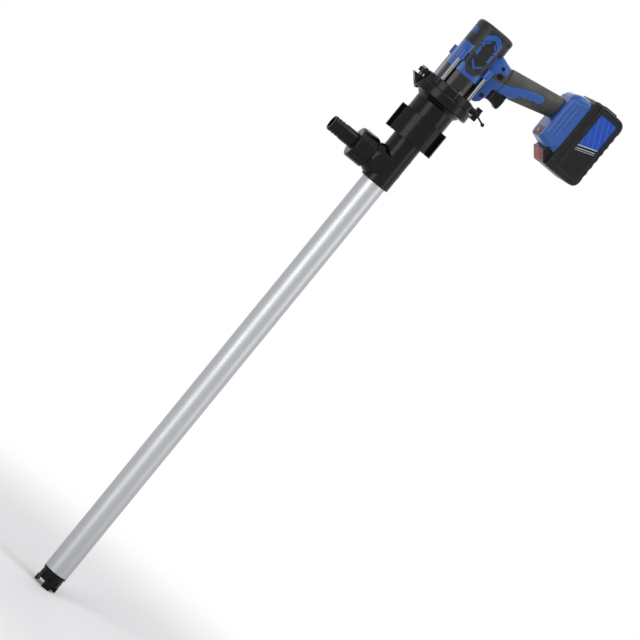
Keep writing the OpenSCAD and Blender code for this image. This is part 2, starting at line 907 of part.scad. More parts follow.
module adapter_body() {
    color(black) difference() {
        union() {
            rotate_extrude() polygon([
                [0, z_seat],
                [nut_bore_r - run, z_seat],
                [nut_bore_r - run, z_neck],
                [neck_r, z_neck],
                [neck_r, z_cone],
                [cone_r, z_flange - gap],
                [flange_r - flange_edge, z_flange],
                for (a = [15 : 15 : 75]) [
                    flange_r - flange_edge * (1 - sin(a)),
                    z_flange + flange_edge * (1 - cos(a))
                ],
                [flange_r, z_flange + flange_edge],
                [flange_r, z_plate - flange_edge / 2],
                [flange_r - flange_chamfer, z_plate - flange_chamfer / 2],
                [plate_r + gap, z_plate],
                [0, z_plate]
            ]);
            side_plate(ear_w / 2) polygon([
                [-ear_x - lower_ear_reach, z_plate - ear_rise / 2],
                [-ear_x - lower_ear_reach, z_plate - ear_rise],
                [-plate_r, z_plate - lower_ear_drop - ear_rise],
                [-neck_r, z_plate - lower_ear_drop + ear_rise],
                [-neck_r, z_plate - ear_rise / 2]
            ]);
        }
        translate([0, 0, z_seat - cut]) cylinder(r = spigot_r + run, h = spigot_h + gap + cut);
        translate([0, 0, z_spigot_top + gap - cut]) cylinder(r = hold_ring_bore, h = web_h + 2 * cut);
        translate([0, 0, z_spigot_top + gap + web_h])
            cylinder(r = adapter_bore_r, h = z_plate - z_spigot_top);
        for (a = screw_angles) rotate([0, 0, a])
            translate([rib_x, 0, z_plate - plate_screw_depth])
                cylinder(r = plate_screw_r + fit, h = plate_screw_depth + cut);
        translate([-ear_x, 0, z_plate - lower_ear_drop])
            cylinder(r = ear_bolt_r + run, h = lower_ear_drop + cut);
    }
    color(black) translate([0, 0, z_bearing + bearing_h + run])
        ring(hold_ring_r, hold_ring_bore, z_spigot_top + gap - z_bearing - bearing_h);
}

module mounting_plate() {
    color(black) difference() {
        union() {
            translate([0, 0, z_plate]) cylinder(r = plate_r, h = plate_h - nut_edge);
            translate([0, 0, z_plate_top - nut_edge])
                cylinder(r1 = plate_r, r2 = plate_r - nut_edge, h = nut_edge);
            for (a = concat(screw_angles, post_angles)) rotate([0, 0, a])
                translate([rib_x, 0, z_plate + rib_rise]) cylinder(r = rib_r, h = rib_h);
            translate([-ear_x, 0, z_plate + ear_rise]) cylinder(r = ear_r, h = ear_t);
            translate([-ear_x, -ear_r, z_plate + ear_rise]) cube([ear_x - case_r - wall, 2 * ear_r, ear_t]);
            translate([case_r + wall, 0, z_clamp]) rotate([0, 90, 0])
                cylinder(r = clamp_boss_r, h = clamp_boss_x - case_r - wall);
        }
        translate([0, 0, z_plate - cut]) cylinder(r = ledge_r, h = ledge_h + 2 * cut);
        translate([0, 0, z_case]) cylinder(r = case_r + fit, h = plate_h);
        for (a = screw_angles) rotate([0, 0, a]) translate([rib_x, 0, z_plate - cut]) {
            cylinder(r = plate_screw_r + fit, h = plate_h + 2 * cut);
            translate([0, 0, rib_rise + rib_h + cut]) cylinder(r = plate_screw_head_r + run, h = plate_h);
        }
        for (x = [-1, 1], y = [-1, 1])
            translate([x * post_half, y * post_half, z_plate + ledge_h])
                cylinder(d = post_d + 2 * fit, h = plate_h);
        translate([-ear_x, 0, z_plate]) cylinder(r = ear_bolt_r + run, h = plate_h);
        translate([case_r, 0, z_clamp]) rotate([0, 90, 0]) {
            translate([0, 0, -cut]) cylinder(r = clamp_r + run, h = clamp_boss_x);
            translate([0, 0, -cut]) cylinder(r = pad_r + run, h = pad_t + pad_travel + 2 * cut);
        }
    }
}

module plate_screws() {
    color(steel) for (a = screw_angles) rotate([0, 0, a]) translate([rib_x, 0, 0]) {
        translate([0, 0, z_plate - plate_screw_depth + gap])
            cylinder(r = plate_screw_r, h = plate_screw_depth + rib_rise + rib_h);
        translate([0, 0, z_plate + rib_rise + rib_h]) difference() {
            cylinder(r = plate_screw_head_r, h = plate_screw_head_h);
            translate([0, 0, plate_screw_head_h / 2])
                cylinder(r = plate_screw_r * socket_share, h = plate_screw_head_h, $fn = 6);
        }
    }
}

module ear_bolt() {
    z_head = z_plate + ear_rise + ear_t;
    color(steel) translate([-ear_x, 0, 0]) {
        translate([0, 0, z_plate - lower_ear_drop / 2])
            cylinder(r = ear_bolt_r, h = z_head - z_plate + lower_ear_drop / 2 + cut / 2);
        translate([0, 0, z_head]) rotate([0, 0, 30])
            cylinder(r = ear_bolt_head_r, h = ear_bolt_head_h, $fn = 6);
    }
}

module clamp_pad() {
    color(bronze) translate([case_r + pad_gap, 0, z_clamp]) rotate([0, 90, 0])
        cylinder(r = pad_r, h = pad_t);
}

module clamp_screw() {
    tip_x = case_r + 2 * pad_gap + pad_t;
    color(black) difference() {
        union() {
            translate([tip_x, 0, z_clamp]) rotate([0, 90, 0])
                cylinder(r = clamp_r, h = head_x - tip_x + cut);
            translate([head_x, 0, z_clamp]) rotate([0, 90, 0]) cylinder(r = head_hub_r, h = head_t);
            translate([head_x, -wing_t / 2, z_clamp - wing_reach])
                cube([head_t, wing_t, 2 * wing_reach]);
        }
        translate([head_x + slot_floor, -slot_half, z_clamp - wing_reach - cut])
            cube([head_t, 2 * slot_half, 2 * (wing_reach + cut)]);
    }
    color(steel) translate([pivot_x, 0, z_clamp]) rotate([90, 0, 0])
        cylinder(r = pivot_r, h = 2 * slot_half + cut, center = true);
}

module swing_handle() {
    color(black) translate([pivot_x, 0, z_clamp]) rotate([0, handle_bar_drop, 0]) difference() {
        union() {
            rotate([90, 0, 0]) cylinder(r = eye_r, h = 2 * handle_bar_r, center = true);
            rotate([0, 90, 0]) cylinder(r = handle_bar_r - fit, h = handle_bar_len);
            translate([handle_bar_len, 0, 0]) sphere(r = handle_ball_r);
        }
        rotate([90, 0, 0]) cylinder(r = pivot_r + run, h = 2 * eye_r, center = true);
    }
}

module tie_posts() {
    color(chrome) for (x = [-1, 1], y = [-1, 1])
        translate([x * post_half, y * post_half, z_plate + ledge_h + gap])
            cylinder(d = post_d, h = z_lug + post_seat_h - z_plate - ledge_h - 2 * gap);
}

// Gearbox

// Half the angle of a tooth at radius r, on an involute of base radius base
function tooth_half(teeth, pitch_r, base, r, slack) =
    90 / teeth - slack / (2 * pitch_r) * 180 / PI + involute(pressure_angle)
    - involute(r <= base ? 0 : acos(base / r));

function involute(angle) = tan(angle) * 180 / PI - angle;

// Outline of a spur gear with a tooth on the X axis; slack thins every tooth
function gear_points(teeth, root, tip, slack) =
    let (pitch_r = gear_module * teeth / 2, base = pitch_r * cos(pressure_angle))
    let (foot = max(root, base))
    [
        for (i = [0 : teeth - 1]) each concat(
            [polar(root, i * 360 / teeth - tooth_half(teeth, pitch_r, base, foot, slack))],
            [for (s = flank_shares) let (r = foot + (tip - foot) * s)
                polar(r, i * 360 / teeth - tooth_half(teeth, pitch_r, base, r, slack))],
            [for (s = flank_shares) let (r = tip - (tip - foot) * s)
                polar(r, i * 360 / teeth + tooth_half(teeth, pitch_r, base, r, slack))],
            [polar(root, i * 360 / teeth + tooth_half(teeth, pitch_r, base, foot, slack))]
        )
    ];

function polar(r, angle) = r * [cos(angle), sin(angle)];

module gear(teeth, bore_r) {
    pitch_r = gear_module * teeth / 2;
    difference() {
        linear_extrude(height = gear_w) polygon(gear_points(
            teeth, pitch_r - dedendum * gear_module, pitch_r + outer_addendum * gear_module, backlash
        ));
        translate([0, 0, -cut]) cylinder(r = bore_r, h = gear_w + 2 * cut);
    }
}

module gearbox_case() {
    color([0.09, 0.07, 0.065]) difference() {
        union() {
            translate([0, 0, z_case]) cylinder(r = case_r, h = z_housing - z_case - gap);
            translate([0, 0, z_case]) cylinder(r = case_neck_r, h = z_housing - z_case + case_neck_h);
        }
        translate([0, 0, z_case - cut]) cylinder(r = out_shaft_r + gap, h = case_floor + 2 * cut);
        translate([0, 0, z_out_bearing]) cylinder(r = out_bearing_r + fit, h = out_bearing_h + cut);
        translate([0, 0, z_case_room])
            cylinder(r = case_room_r, h = z_housing + case_neck_h - z_case_room + cut);
    }
}

module ring_gear() {
    pitch_r = gear_module * ring_teeth / 2;
    color(steel) translate([0, 0, z_gears]) difference() {
        cylinder(r = case_room_r - fit, h = gear_w);
        translate([0, 0, -cut]) linear_extrude(height = gear_w + 2 * cut) polygon(gear_points(
            ring_teeth, pitch_r - ring_addendum * gear_module, pitch_r + dedendum * gear_module,
            -backlash
        ));
    }
}

module sun_gear() {
    color(steel) translate([0, 0, z_gears]) gear(sun_teeth, motor_shaft_r + fit);
}

module planet_gear(i) {
    color(steel) rotate([0, 0, i * 360 / planet_count]) translate([orbit_r, 0, z_gears])
        gear(planet_teeth, pin_r + run);
}

module planet_carrier() {
    color(steel) {
        translate([0, 0, z_carrier]) cylinder(r = carrier_r, h = carrier_h);
        translate([0, 0, z_coupling + coupling_hub_h + jaw_h + gap])
            cylinder(r = out_shaft_r, h = z_carrier - z_coupling - coupling_hub_h - jaw_h);
        for (i = [0 : planet_count - 1]) rotate([0, 0, i * 360 / planet_count])
            translate([orbit_r, 0, z_carrier]) cylinder(r = pin_r, h = carrier_h + gear_w);
    }
}

module output_bearing() {
    color(steel) translate([0, 0, z_out_bearing])
        bearing(out_bearing_r, out_shaft_r + run, out_bearing_h);
}

// One jaw coupling half, hub on z = 0 and jaws upwards
module coupling_half(bore_r) {
    difference() {
        union() {
            cylinder(r = coupling_r, h = coupling_hub_h);
            linear_extrude(height = coupling_hub_h + jaw_h) for (a = [0, 180]) rotate(a)
                intersection() {
                    difference() {
                        circle(r = coupling_r);
                        circle(r = jaw_in_r);
                    }
                    sector(coupling_r, jaw_angle);
                }
        }
        translate([0, 0, -cut]) cylinder(r = bore_r + fit, h = coupling_hub_h + 2 * cut);
    }
}

module coupling_lower() {
    color(aluminium) translate([0, 0, z_coupling]) coupling_half(shaft_r);
}

module coupling_upper() {
    color(aluminium) translate([0, 0, z_coupling + 2 * coupling_hub_h + jaw_h + gap])
        rotate([180, 0, 90]) coupling_half(out_shaft_r);
}

module coupling_insert() {
    arm = 90 - jaw_angle - jaw_slack;
    color(red) translate([0, 0, z_coupling + coupling_hub_h + gap / 2])
        linear_extrude(height = jaw_h) {
            circle(r = jaw_in_r - gap / 2);
            for (a = [45 : 90 : 315]) rotate(a) intersection() {
                circle(r = coupling_r - gap);
                sector(coupling_r, arm);
            }
        }
}

// Motor

module motor_plate() {
    color(steel) translate([0, 0, z_motor_plate]) difference() {
        cylinder(r = case_room_r - fit, h = motor_plate_h);
        translate([0, 0, -cut]) cylinder(r = motor_shaft_r + shaft_room, h = motor_plate_h + 2 * cut);
        translate([0, 0, z_front_bearing - z_motor_plate])
            cylinder(r = small_bearing_r + fit, h = motor_plate_h);
    }
}

module motor_bearings() {
    color(steel) for (z = [z_front_bearing, z_rear_bearing]) translate([0, 0, z])
        bearing(small_bearing_r, motor_shaft_r + run, small_bearing_h);
}

module motor_rotor() {
    color(steel) {
        translate([0, 0, z_gears])
            cylinder(r = motor_shaft_r, h = z_rear_bearing + small_bearing_h + cut - z_gears);
        translate([0, 0, z_stator]) cylinder(r = rotor_r, h = stator_h);
    }
}

module motor_stator() {
    color([0.55, 0.3, 0.12]) translate([0, 0, z_stator]) {
        ring(stator_r, stator_r - stator_back, stator_h);
        difference() {
            for (i = [0 : stator_teeth - 1]) rotate([0, 0, i * 360 / stator_teeth]) {
                translate([stator_bore_r, -tooth_w / 2, 0])
                    cube([stator_r - stator_bore_r - stator_back / 2, tooth_w, stator_h]);
                translate([stator_bore_r + coil_back, -coil_w / 2, -coil_over]) cube([
                    stator_r - stator_bore_r - stator_back - coil_back, coil_w, stator_h + 2 * coil_over
                ]);
            }
            translate([0, 0, -coil_over - cut])
                cylinder(r = stator_bore_r + gap, h = stator_h + 2 * (coil_over + cut));
        }
    }
}

module cooling_fan() {
    color(black) translate([0, 0, z_fan]) difference() {
        union() {
            cylinder(r = fan_r, h = fan_plate_t);
            cylinder(r = motor_shaft_r + fan_hub_wall, h = fan_h);
            for (i = [0 : fan_blades - 1]) rotate([0, 0, i * 360 / fan_blades])
                translate([fan_r / 2, -fan_plate_t / 2, 0])
                    rotate([0, 0, fan_blade_turn]) cube([fan_blade_l, fan_plate_t, fan_h]);
        }
        translate([0, 0, -cut]) cylinder(r = motor_shaft_r + fit, h = fan_h + 2 * cut);
    }
}

// Driver housing

// Height of the handle's axis at x, and of its section
function axis_z(x) = z_handle0 + slope * (x - handle_x0);
function section_h(x) = handle_h0 + (handle_h1 - handle_h0) * (x - handle_x0) / (handle_x1 - handle_x0);

// Thin oval disc across the handle at x, grown by grow all round
module handle_disc(x, grow) {
    translate([x, 0, axis_z(x)]) rotate([0, 90, 0])
        scale([section_h(x) / 2 + grow, handle_w / 2 + grow, disc_t])
            cylinder(r = 1, h = 1, center = true, $fn = hull_fn);
}

module handle_bar(x0, x1, grow) {
    hull() {
        handle_disc(x0, grow);
        handle_disc(x1, grow);
    }
}

module head_shape(grow) {
    round_rect(head_l + 2 * grow, head_w + 2 * grow, head_corner + grow);
}

// Blue block that the battery slides on
module foot_block(inset) {
    hull() {
        for (y = [-1, 1], z = [z_foot + foot_round, z_foot_top - foot_round])
            translate([foot_x1 - wall, y * (foot_w / 2 - foot_round), z]) rotate([0, 90, 0])
                cylinder(r = foot_round - inset, h = wall - inset, $fn = hull_fn);
        for (
            y = [-1, 1],
            z = [z_foot + foot_front_drop + foot_round, z_foot_top - foot_front_rise - foot_round]
        ) translate([foot_x + inset, y * (foot_front_w / 2 - foot_round), z]) rotate([0, 90, 0])
                cylinder(r = foot_round - inset, h = wall, $fn = hull_fn);
    }
}

// Nose line of the pack, which the blue block is cut back from
nose_points = placed(nose_shares, pack_x, z_pack, -nose_l, nose_h);

module housing_solid() {
    translate([0, 0, z_housing]) linear_extrude(height = head_h) head_shape(0);
    for (x = [-1, 1], y = [-1, 1]) translate([x * post_half, y * post_half, z_lug])
        cylinder(r = lug_r, h = lug_h);
    chin_x = handle_x0 - cap_edge;
    side_plate(chin_half)
        polygon(placed(chin_shares, chin_x, z_chin, trigger_x0 + gap - chin_x, z_lug + lug_h - z_chin));
    handle_bar(handle_x0 - cap_edge, handle_x1, 0);
    hull() {
        translate([handle_x0 - flare_back, -flare_w / 2, z_handle0])
            cube([disc_t, flare_w, z_flare_top - z_handle0]);
        handle_disc(handle_x0 + flare_len, 0);
    }
    foot_block(0);
}

module housing_void() {
    z_stator_seat = z_housing + case_seat_h;
    translate([0, 0, z_housing - cut]) cylinder(r = case_neck_r + fit, h = case_seat_h + cut);
    translate([0, 0, z_stator_seat - cut]) cylinder(r = stator_r + fit, h = stator_seat_h + cut);
    translate([0, 0, z_stator_seat + stator_seat_h]) cylinder(r = fan_room_r, h = head_h);
    translate([cap_step_x - head_l, -head_w, z_head_top - cap_step_h])
        cube([head_l, 2 * head_w, cap_step_h + cut]);
    translate([0, 0, z_head_top]) linear_extrude(height = cap_h) head_shape(0);
    translate([0, 0, z_case]) cylinder(r = case_r + gap, h = z_housing - z_case);
    for (x = [-1, 1], y = [-1, 1]) translate([x * post_half, y * post_half, z_housing - cut])
        cylinder(d = post_d + 2 * fit, h = lug_rise + post_seat_h + cut);
    difference() {
        union() {
            handle_bar(trigger_x0, foot_x + wall, -wall);
            hull() intersection() {
                foot_block(wall);
                translate([foot_x, -foot_w, z_foot]) cube([tee_x0 - foot_x - wall, 2 * foot_w, foot_h]);
            }
        }
        for (p = boss_points) translate([p[0], 0, p[1]]) rotate([90, 0, 0])
            cylinder(r = boss_r, h = foot_w, center = true);
    }
    translate([trigger_x0 - gap, -trigger_w / 2 - gap, z_trigger])
        cube([trigger_x1 - trigger_x0 + 2 * gap, trigger_w + 2 * gap, axis_z(trigger_x1) - z_trigger]);
    translate([selector_x - selector_l / 2 - gap, -handle_w, z_selector - selector_h / 2 - gap])
        cube([selector_l + 2 * gap, 2 * handle_w, selector_h + 2 * gap]);
    translate([tee_x0, -tee_head_half - gap, z_foot - cut])
        cube([tee_head_t, 2 * (tee_head_half + gap), z_tee_top - z_foot + cut]);
    translate([tee_x0, -tee_stem_half - gap, z_foot - cut])
        cube([foot_l, 2 * (tee_stem_half + gap), z_tee_top - z_foot + cut]);
    side_plate(foot_w) polygon([
        [nose_points[0][0] + cut, nose_points[0][1] + nose_gap],
        [nose_points[1][0] - gap, nose_points[1][1] + gap],
        [nose_points[2][0] - gap, z_foot - cut],
        [nose_points[0][0] + cut, z_foot - cut]
    ]);
    translate([foot_x - cut, -panel_w / 2 - fit, z_foot + panel_rise])
        cube([panel_d + cut, panel_w + 2 * fit, panel_h + 2 * fit]);
    translate([foot_x, 0, z_foot + panel_rise + panel_h / 2]) rotate([0, 90, 0])
        cylinder(r = button_r + 2 * run, h = 2 * wall);
    for (p = screw_points) translate([p[0], 0, p[1]]) rotate([90, 0, 0]) {
        translate([0, 0, -screw_y0 - screw_len]) cylinder(r = screw_r + fit, h = screw_len);
        translate([0, 0, -screw_y0]) cylinder(r = screw_head_r + run, h = foot_w);
    }
}

// Places of the housing's screws in X and Z: one in the chin, one behind the head, two in the
// handle and two in the battery foot
boss_points = concat(
    [for (s = handle_boss_shares) let (x = handle_x0 + s[0] * (foot_x - handle_x0))
        [x, axis_z(x) + s[1] * section_h(x)]],
    [for (s = foot_boss_shares) [foot_x + foot_boss_x_share * foot_l, z_foot + s * foot_h]]
);
screw_points = concat([
    [head_half_l + screw_out, z_housing - chin_screw_drop],
    [head_half_l + screw_out, z_selector + head_screw_rise]
], boss_points);

module housing_left() {
    color(blue) intersection() {
        difference() {
            housing_solid();
            housing_void();
        }
        translate([-head_l, -foot_w, 0]) cube([2 * pack_x, foot_w, z_top]);
    }
}

module housing_right() {
    color(blue) intersection() {
        difference() {
            housing_solid();
            housing_void();
        }
        translate([-head_l, 0, 0]) cube([2 * pack_x, foot_w, z_top]);
    }
}

module housing_screws() {
    color(steel) for (p = screw_points) translate([p[0], 0, p[1]]) rotate([90, 0, 0]) {
        translate([0, 0, -screw_y0 - screw_len + gap]) cylinder(r = screw_r, h = screw_len);
        translate([0, 0, -screw_y0 + fit]) difference() {
            cylinder(r = screw_head_r, h = screw_head_h);
            translate([0, 0, screw_head_h / 2])
                cylinder(r = screw_r * socket_share, h = screw_head_h, $fn = 6);
        }
    }
}

module rear_cap() {
    z_room = z_top - wall;
    color(charcoal) difference() {
        union() {
            translate([0, 0, z_head_top]) linear_extrude(height = cap_h - cap_edge) head_shape(-cap_join);
            hull() for (a = [0, 30, 60, 90])
                translate([0, 0, z_top - cap_edge - cut]) linear_extrude(height = cut + cap_edge * sin(a))
                    head_shape(-cap_join - cap_edge * (1 - cos(a)), $fn = hull_fn);
            translate([0, 0, z_head_top - cap_step_h + cap_join]) linear_extrude(height = cap_step_h)
                intersection() {
                    head_shape(-cap_join);
                    translate([cap_step_x - cap_join - head_l, -head_w]) square([head_l, 2 * head_w]);
                }
        }
        difference() {
            translate([0, 0, z_head_top - cap_step_h - cut])
                cylinder(r = cap_room_r, h = z_room - z_head_top + cap_step_h + cut);
            translate([0, 0, z_rear_bearing]) cylinder(r = cap_boss_r, h = cap_h);
        }
        translate([0, 0, z_rear_bearing - cut])
            cylinder(r = small_bearing_r + fit, h = small_bearing_h + cut + gap);
        translate([0, 0, z_rear_bearing])
            cylinder(r = motor_shaft_r + shaft_room, h = rear_bearing_back);
    }
}

// Window of a side panel, in X and Z, with its lower end drawn in to a blunt point
module panel_window() {
    polygon(concat(
        [[panel_half, z_top - cap_edge], [-panel_half, z_top - cap_edge]],
        placed(panel_end_shares, 0, z_panel, panel_half, panel_shoulder)
    ));
}

module side_panel(side) {
    color(charcoal) intersection() {
        translate([0, 0, z_housing]) linear_extrude(height = head_h + cap_h) difference() {
            head_shape(panel_t);
            head_shape(fit);
        }
        side_span(side < 0 ? -head_w : 0, side < 0 ? 0 : head_w) panel_window();
    }
}

// Blue tongue of the housing that the rubber leaves bare, in X and Z
module tongue_window() {
    root_x = sleeve_x0 + tongue_root_shares[0] * tongue_edge;
    polygon(concat(
        [
            [sleeve_x0 - cut, axis_z(sleeve_x0) - handle_h0],
            [sleeve_x0 - cut, axis_z(sleeve_x0) + tongue_root_shares[1] * tongue_edge],
            [root_x, axis_z(root_x) + tongue_edge / 2]
        ],
        [for (s = tongue_end_shares) let (x = tongue_x1 - s[0] * tongue_edge)
            [x, axis_z(x) + s[1] * tongue_edge]],
        [[belly_x1, axis_z(belly_x1) - handle_h0]]
    ));
}

module grip_sleeve() {
    color(rubber) difference() {
        handle_bar(sleeve_x0, sleeve_x1, sleeve_t);
        handle_bar(handle_x0 - cap_edge, handle_x1, fit);
        side_span(-handle_w, -belly_half) tongue_window();
        side_span(belly_half, handle_w) tongue_window();
        translate([sleeve_x0 - cut, -belly_half - cut, axis_z(sleeve_x0) - handle_h0])
            cube([belly_x1 - sleeve_x0, 2 * (belly_half + cut), handle_h0]);
        for (p = screw_points) translate([p[0], 0, p[1]]) rotate([90, 0, 0])
            cylinder(r = screw_head_r + run, h = foot_w);
    }
}

// Controls

module trigger() {
    color(black) side_plate(trigger_w / 2) polygon(placed(
        trigger_shares, trigger_x0, z_trigger, trigger_x1 - trigger_x0, z_trigger_top - z_trigger
    ));
}

module trigger_switch() {
    color(black) translate([trigger_x0 + switch_step, -switch_w / 2, z_trigger_top + switch_gap])
        cube([switch_l, switch_w, switch_h]);
}

// Coil spring standing on z = 0: a round wire carried up a helix in steps
module coil_spring(r, wire, h, turns) {
    last = spring_steps * turns;
    points = [
        for (i = [0 : last], k = [0 : wire_fn - 1])
            let (a = 360 * i / spring_steps, b = 360 * k / wire_fn, out = r - wire / 2 + wire / 2 * cos(b))
                [out * cos(a), out * sin(a), wire / 2 * (1 + sin(b)) + (h - wire) * i / last]
    ];
    function at(i, k) = i * wire_fn + k % wire_fn;
    sides = [
        for (i = [0 : last - 1], k = [0 : wire_fn - 1], far = [false, true])
            far ? [at(i, k), at(i + 1, k + 1), at(i + 1, k)] : [at(i, k), at(i, k + 1), at(i + 1, k + 1)]
    ];
    ends = [
        for (k = [1 : wire_fn - 2], far = [false, true])
            far ? [at(last, 0), at(last, k), at(last, k + 1)] : [at(0, 0), at(0, k + 1), at(0, k)]
    ];
    polyhedron(points = points, faces = concat(sides, ends));
}

module trigger_spring() {
    color(steel) translate([trigger_x0 + switch_l / 2, 0, z_trigger_top])
        coil_spring(spring_r, spring_wire, switch_gap, spring_turns);
}

module direction_switch() {
    color(black) translate([selector_x - selector_l / 2, -selector_half, z_selector - selector_h / 2])
        cube([selector_l, 2 * selector_half, selector_h]);
}

module control_panel() {
    color(charcoal) difference() {
        translate([foot_x - panel_proud, -panel_w / 2, z_foot + panel_rise + fit])
            cube([panel_d + panel_proud - fit, panel_w, panel_h]);
        translate([foot_x - wall, 0, z_foot + panel_rise + panel_h / 2]) rotate([0, 90, 0])
            cylinder(r = button_r + run, h = 2 * wall);
    }
}

module panel_button() {
    color([0.95, 0.4, 0.05])
        translate([foot_x - panel_proud - button_travel, 0, z_foot + panel_rise + panel_h / 2])
            rotate([0, 90, 0]) cylinder(r = button_r, h = panel_d + panel_proud + button_travel);
}

// Battery

// Side outline of the pack without its nose
module pack_outline() {
    polygon([
        [pack_x, z_pack_top - pack_corner / 2],
        [pack_x, z_pack + pack_end],
        [pack_x + pack_end, z_pack],
        [pack_x1 - pack_corner, z_pack],
        [pack_x1, z_pack + pack_corner],
        [pack_x1, z_pack_top - pack_back_drop],
        [pack_x1 - pack_corner, z_pack_top - pack_top_edge],
        [pack_x1 - pack_corner - pack_top_edge, z_pack_top - bar_t],
        [pack_x + pack_corner / 2, z_pack_top - bar_t]
    ]);
}

module pack_solid() {
    hull() {
        side_plate(pack_w / 2 - pack_edge) pack_outline();
        side_plate(pack_w / 2) offset(delta = -pack_edge) pack_outline();
    }
    side_plate(pack_w / 2 - foot_round) polygon(concat(
        [[pack_x + pack_edge, nose_points[0][1]]],
        nose_points,
        [[pack_x + pack_edge, nose_points[3][1]]]
    ));
}

module pack_room() {
    translate([cover_x1 - board_back, -pack_w / 2 + pack_wall + pack_edge / 2, z_pack + pack_wall]) cube([
        pack_x1 - cover_x1 + board_back - pack_wall,
        pack_w - 2 * pack_wall - pack_edge,
        pack_h - pack_corner - 2 * pack_wall
    ]);
}

module battery_case() {
    color(charcoal) difference() {
        intersection() {
            pack_solid();
            translate([cover_x1, -pack_w, z_pack - cut]) cube([pack_l, 2 * pack_w, pack_h + 2 * cut]);
        }
        pack_room();
        for (s = [-1, 1]) translate([
            cover_x1 + label_margin / 2, s * pack_w / 2 - recess, z_pack + label_margin
        ]) cube([pack_l - cover_l - label_margin - label_margin / 2, 2 * recess, label_h]);
    }
    color(charcoal) for (s = [-1, 1])
        translate([cover_x1 + bar_gap, s * (bar_l + bar_gap / 2) - bar_l / 2, z_pack_top - bar_t - pack_edge])
            cube([pack_l - cover_l - pack_corner - bar_gap, bar_l, bar_t + pack_edge]);
}

module battery_cover() {
    color(charcoal) difference() {
        union() {
            intersection() {
                pack_solid();
                translate([pack_x - 2 * nose_l, -pack_w, z_pack - cut])
                    cube([cover_l + 2 * nose_l - cap_join, 2 * pack_w, pack_h + 2 * cut]);
            }
            translate([tee_x0 + gap, -tee_head_half, z_tee])
                cube([tee_head_t - 2 * gap, 2 * tee_head_half, z_tee_top - z_tee - gap]);
            translate([tee_x0 + gap, -tee_stem_half, z_tee])
                cube([pack_x + pack_edge - tee_x0, 2 * tee_stem_half, z_tee_top - z_tee - gap]);
        }
        pack_room();
        translate([tee_x0 + gap + wall, -tee_stem_half + wall, z_tee + wall])
            cube([foot_l, 2 * (tee_stem_half - wall), z_tee_top - z_tee - gap - 2 * wall]);
        red_place() translate([-red_len / 2 - gap, -button_w / 2 - gap, -red_t - red_travel - gap])
            cube([red_len + 2 * gap, button_w + 2 * gap, red_t + red_travel + red_t]);
        red_place() translate([0, 0, -red_t - red_travel - gap - switch_gap])
            cylinder(r = spring_r + gap, h = switch_gap + cut);
    }
}

// Frame on the middle of the nose's lower face: its +Z points out of the face
red_mid = (nose_points[2] + nose_points[3]) / 2;
red_slant = nose_points[3] - nose_points[2];
red_angle = atan2(-red_slant[1], red_slant[0]);

module red_place() {
    translate([red_mid[0], 0, red_mid[1]]) rotate([0, 180 + red_angle, 0]) children();
}

module release_button() {
    color(red) red_place() {
        translate([-red_len / 2, -button_w / 2, -red_t]) cube([red_len, button_w, red_t]);
        for (i = [1 : red_ribs]) translate([
            red_len * (i / (red_ribs + 1) - 1 / 2) - red_proud / 2, -button_w / 2 + red_proud, -red_proud
        ]) cube([red_proud, button_w - 2 * red_proud, 2 * red_proud]);
    }
}

module release_spring() {
    color(steel) red_place() translate([0, 0, -red_t - red_travel - gap - switch_gap + fit])
        coil_spring(spring_r, spring_wire, switch_gap + red_travel + gap - 2 * fit, spring_turns);
}

module battery_cells() {
    x0 = pack_x1 - pack_wall - gap - (2 * cell_rows - 1) * cell_pitch / 2;
    z0 = z_pack + pack_wall + gap + cell_pitch / 2;
    color([0.25, 0.5, 0.35]) for (i = [0 : cell_rows - 1], j = [0 : cell_count - 1])
        translate([x0 + i * cell_pitch, 0, z0 + j * cell_pitch]) rotate([90, 0, 0])
            cylinder(d = cell_d, h = cell_len, center = true);
}

module battery_board() {
    x0 = cover_x1 - board_back;
    color([0.08, 0.35, 0.15]) translate([x0 + fit, -tee_stem_half - wall, z_tee])
        cube([board_t, 2 * (tee_stem_half + wall), z_tee_top - z_tee - board_drop]);
    color(bronze) for (i = [0 : blade_count - 1]) {
        y = (2 * i + 1 - blade_count) * blade_w / 2;
        translate([x0 - blade_l, y - blade_thick / 2, z_tee + wall + gap])
            cube([blade_l + fit + board_t / 2, blade_thick, 2 * blade_w]);
    }
}

foot_strainer();
impeller();
impeller_nut();
lower_bearing_spider();
shaft_bushes();
outer_tube();
inner_tube();
drive_shaft();
outlet_body();
outlet_gasket();
hose_tail();
outlet_wing_nut();
shaft_seal();
upper_bearing();
spigot_o_ring();
nut_slip_ring();
tube_wing_nut();
adapter_body();
mounting_plate();
plate_screws();
ear_bolt();
clamp_pad();
clamp_screw();
swing_handle();
tie_posts();
gearbox_case();
ring_gear();
sun_gear();
planet_gear(0);  // planet_gear_1
planet_gear(1);  // planet_gear_2
planet_gear(2);  // planet_gear_3
planet_carrier();
output_bearing();
coupling_lower();
coupling_insert();
coupling_upper();
motor_plate();
motor_bearings();
motor_rotor();
motor_stator();
cooling_fan();
housing_left();
housing_right();
housing_screws();
rear_cap();
side_panel(-1);  // side_panel_left
side_panel(1);  // side_panel_right
grip_sleeve();
trigger();
trigger_spring();
trigger_switch();
direction_switch();
control_panel();
panel_button();
battery_case();
battery_cover();
battery_cells();
battery_board();
release_button();
release_spring();
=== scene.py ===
# %% [markdown]
# # A battery fuel transfer pump
# A drill-like driver turns a long shaft inside a tube, and a small wheel at the tube's foot lifts
# the fuel. The working solids come from a CAD frame that stays untouched. This lesson gives them
# their finishes, lays finer skins over the plainest of them, and sets up a small studio.

import json
import math

import bpy
import numpy as np
from mathutils import Matrix, Vector


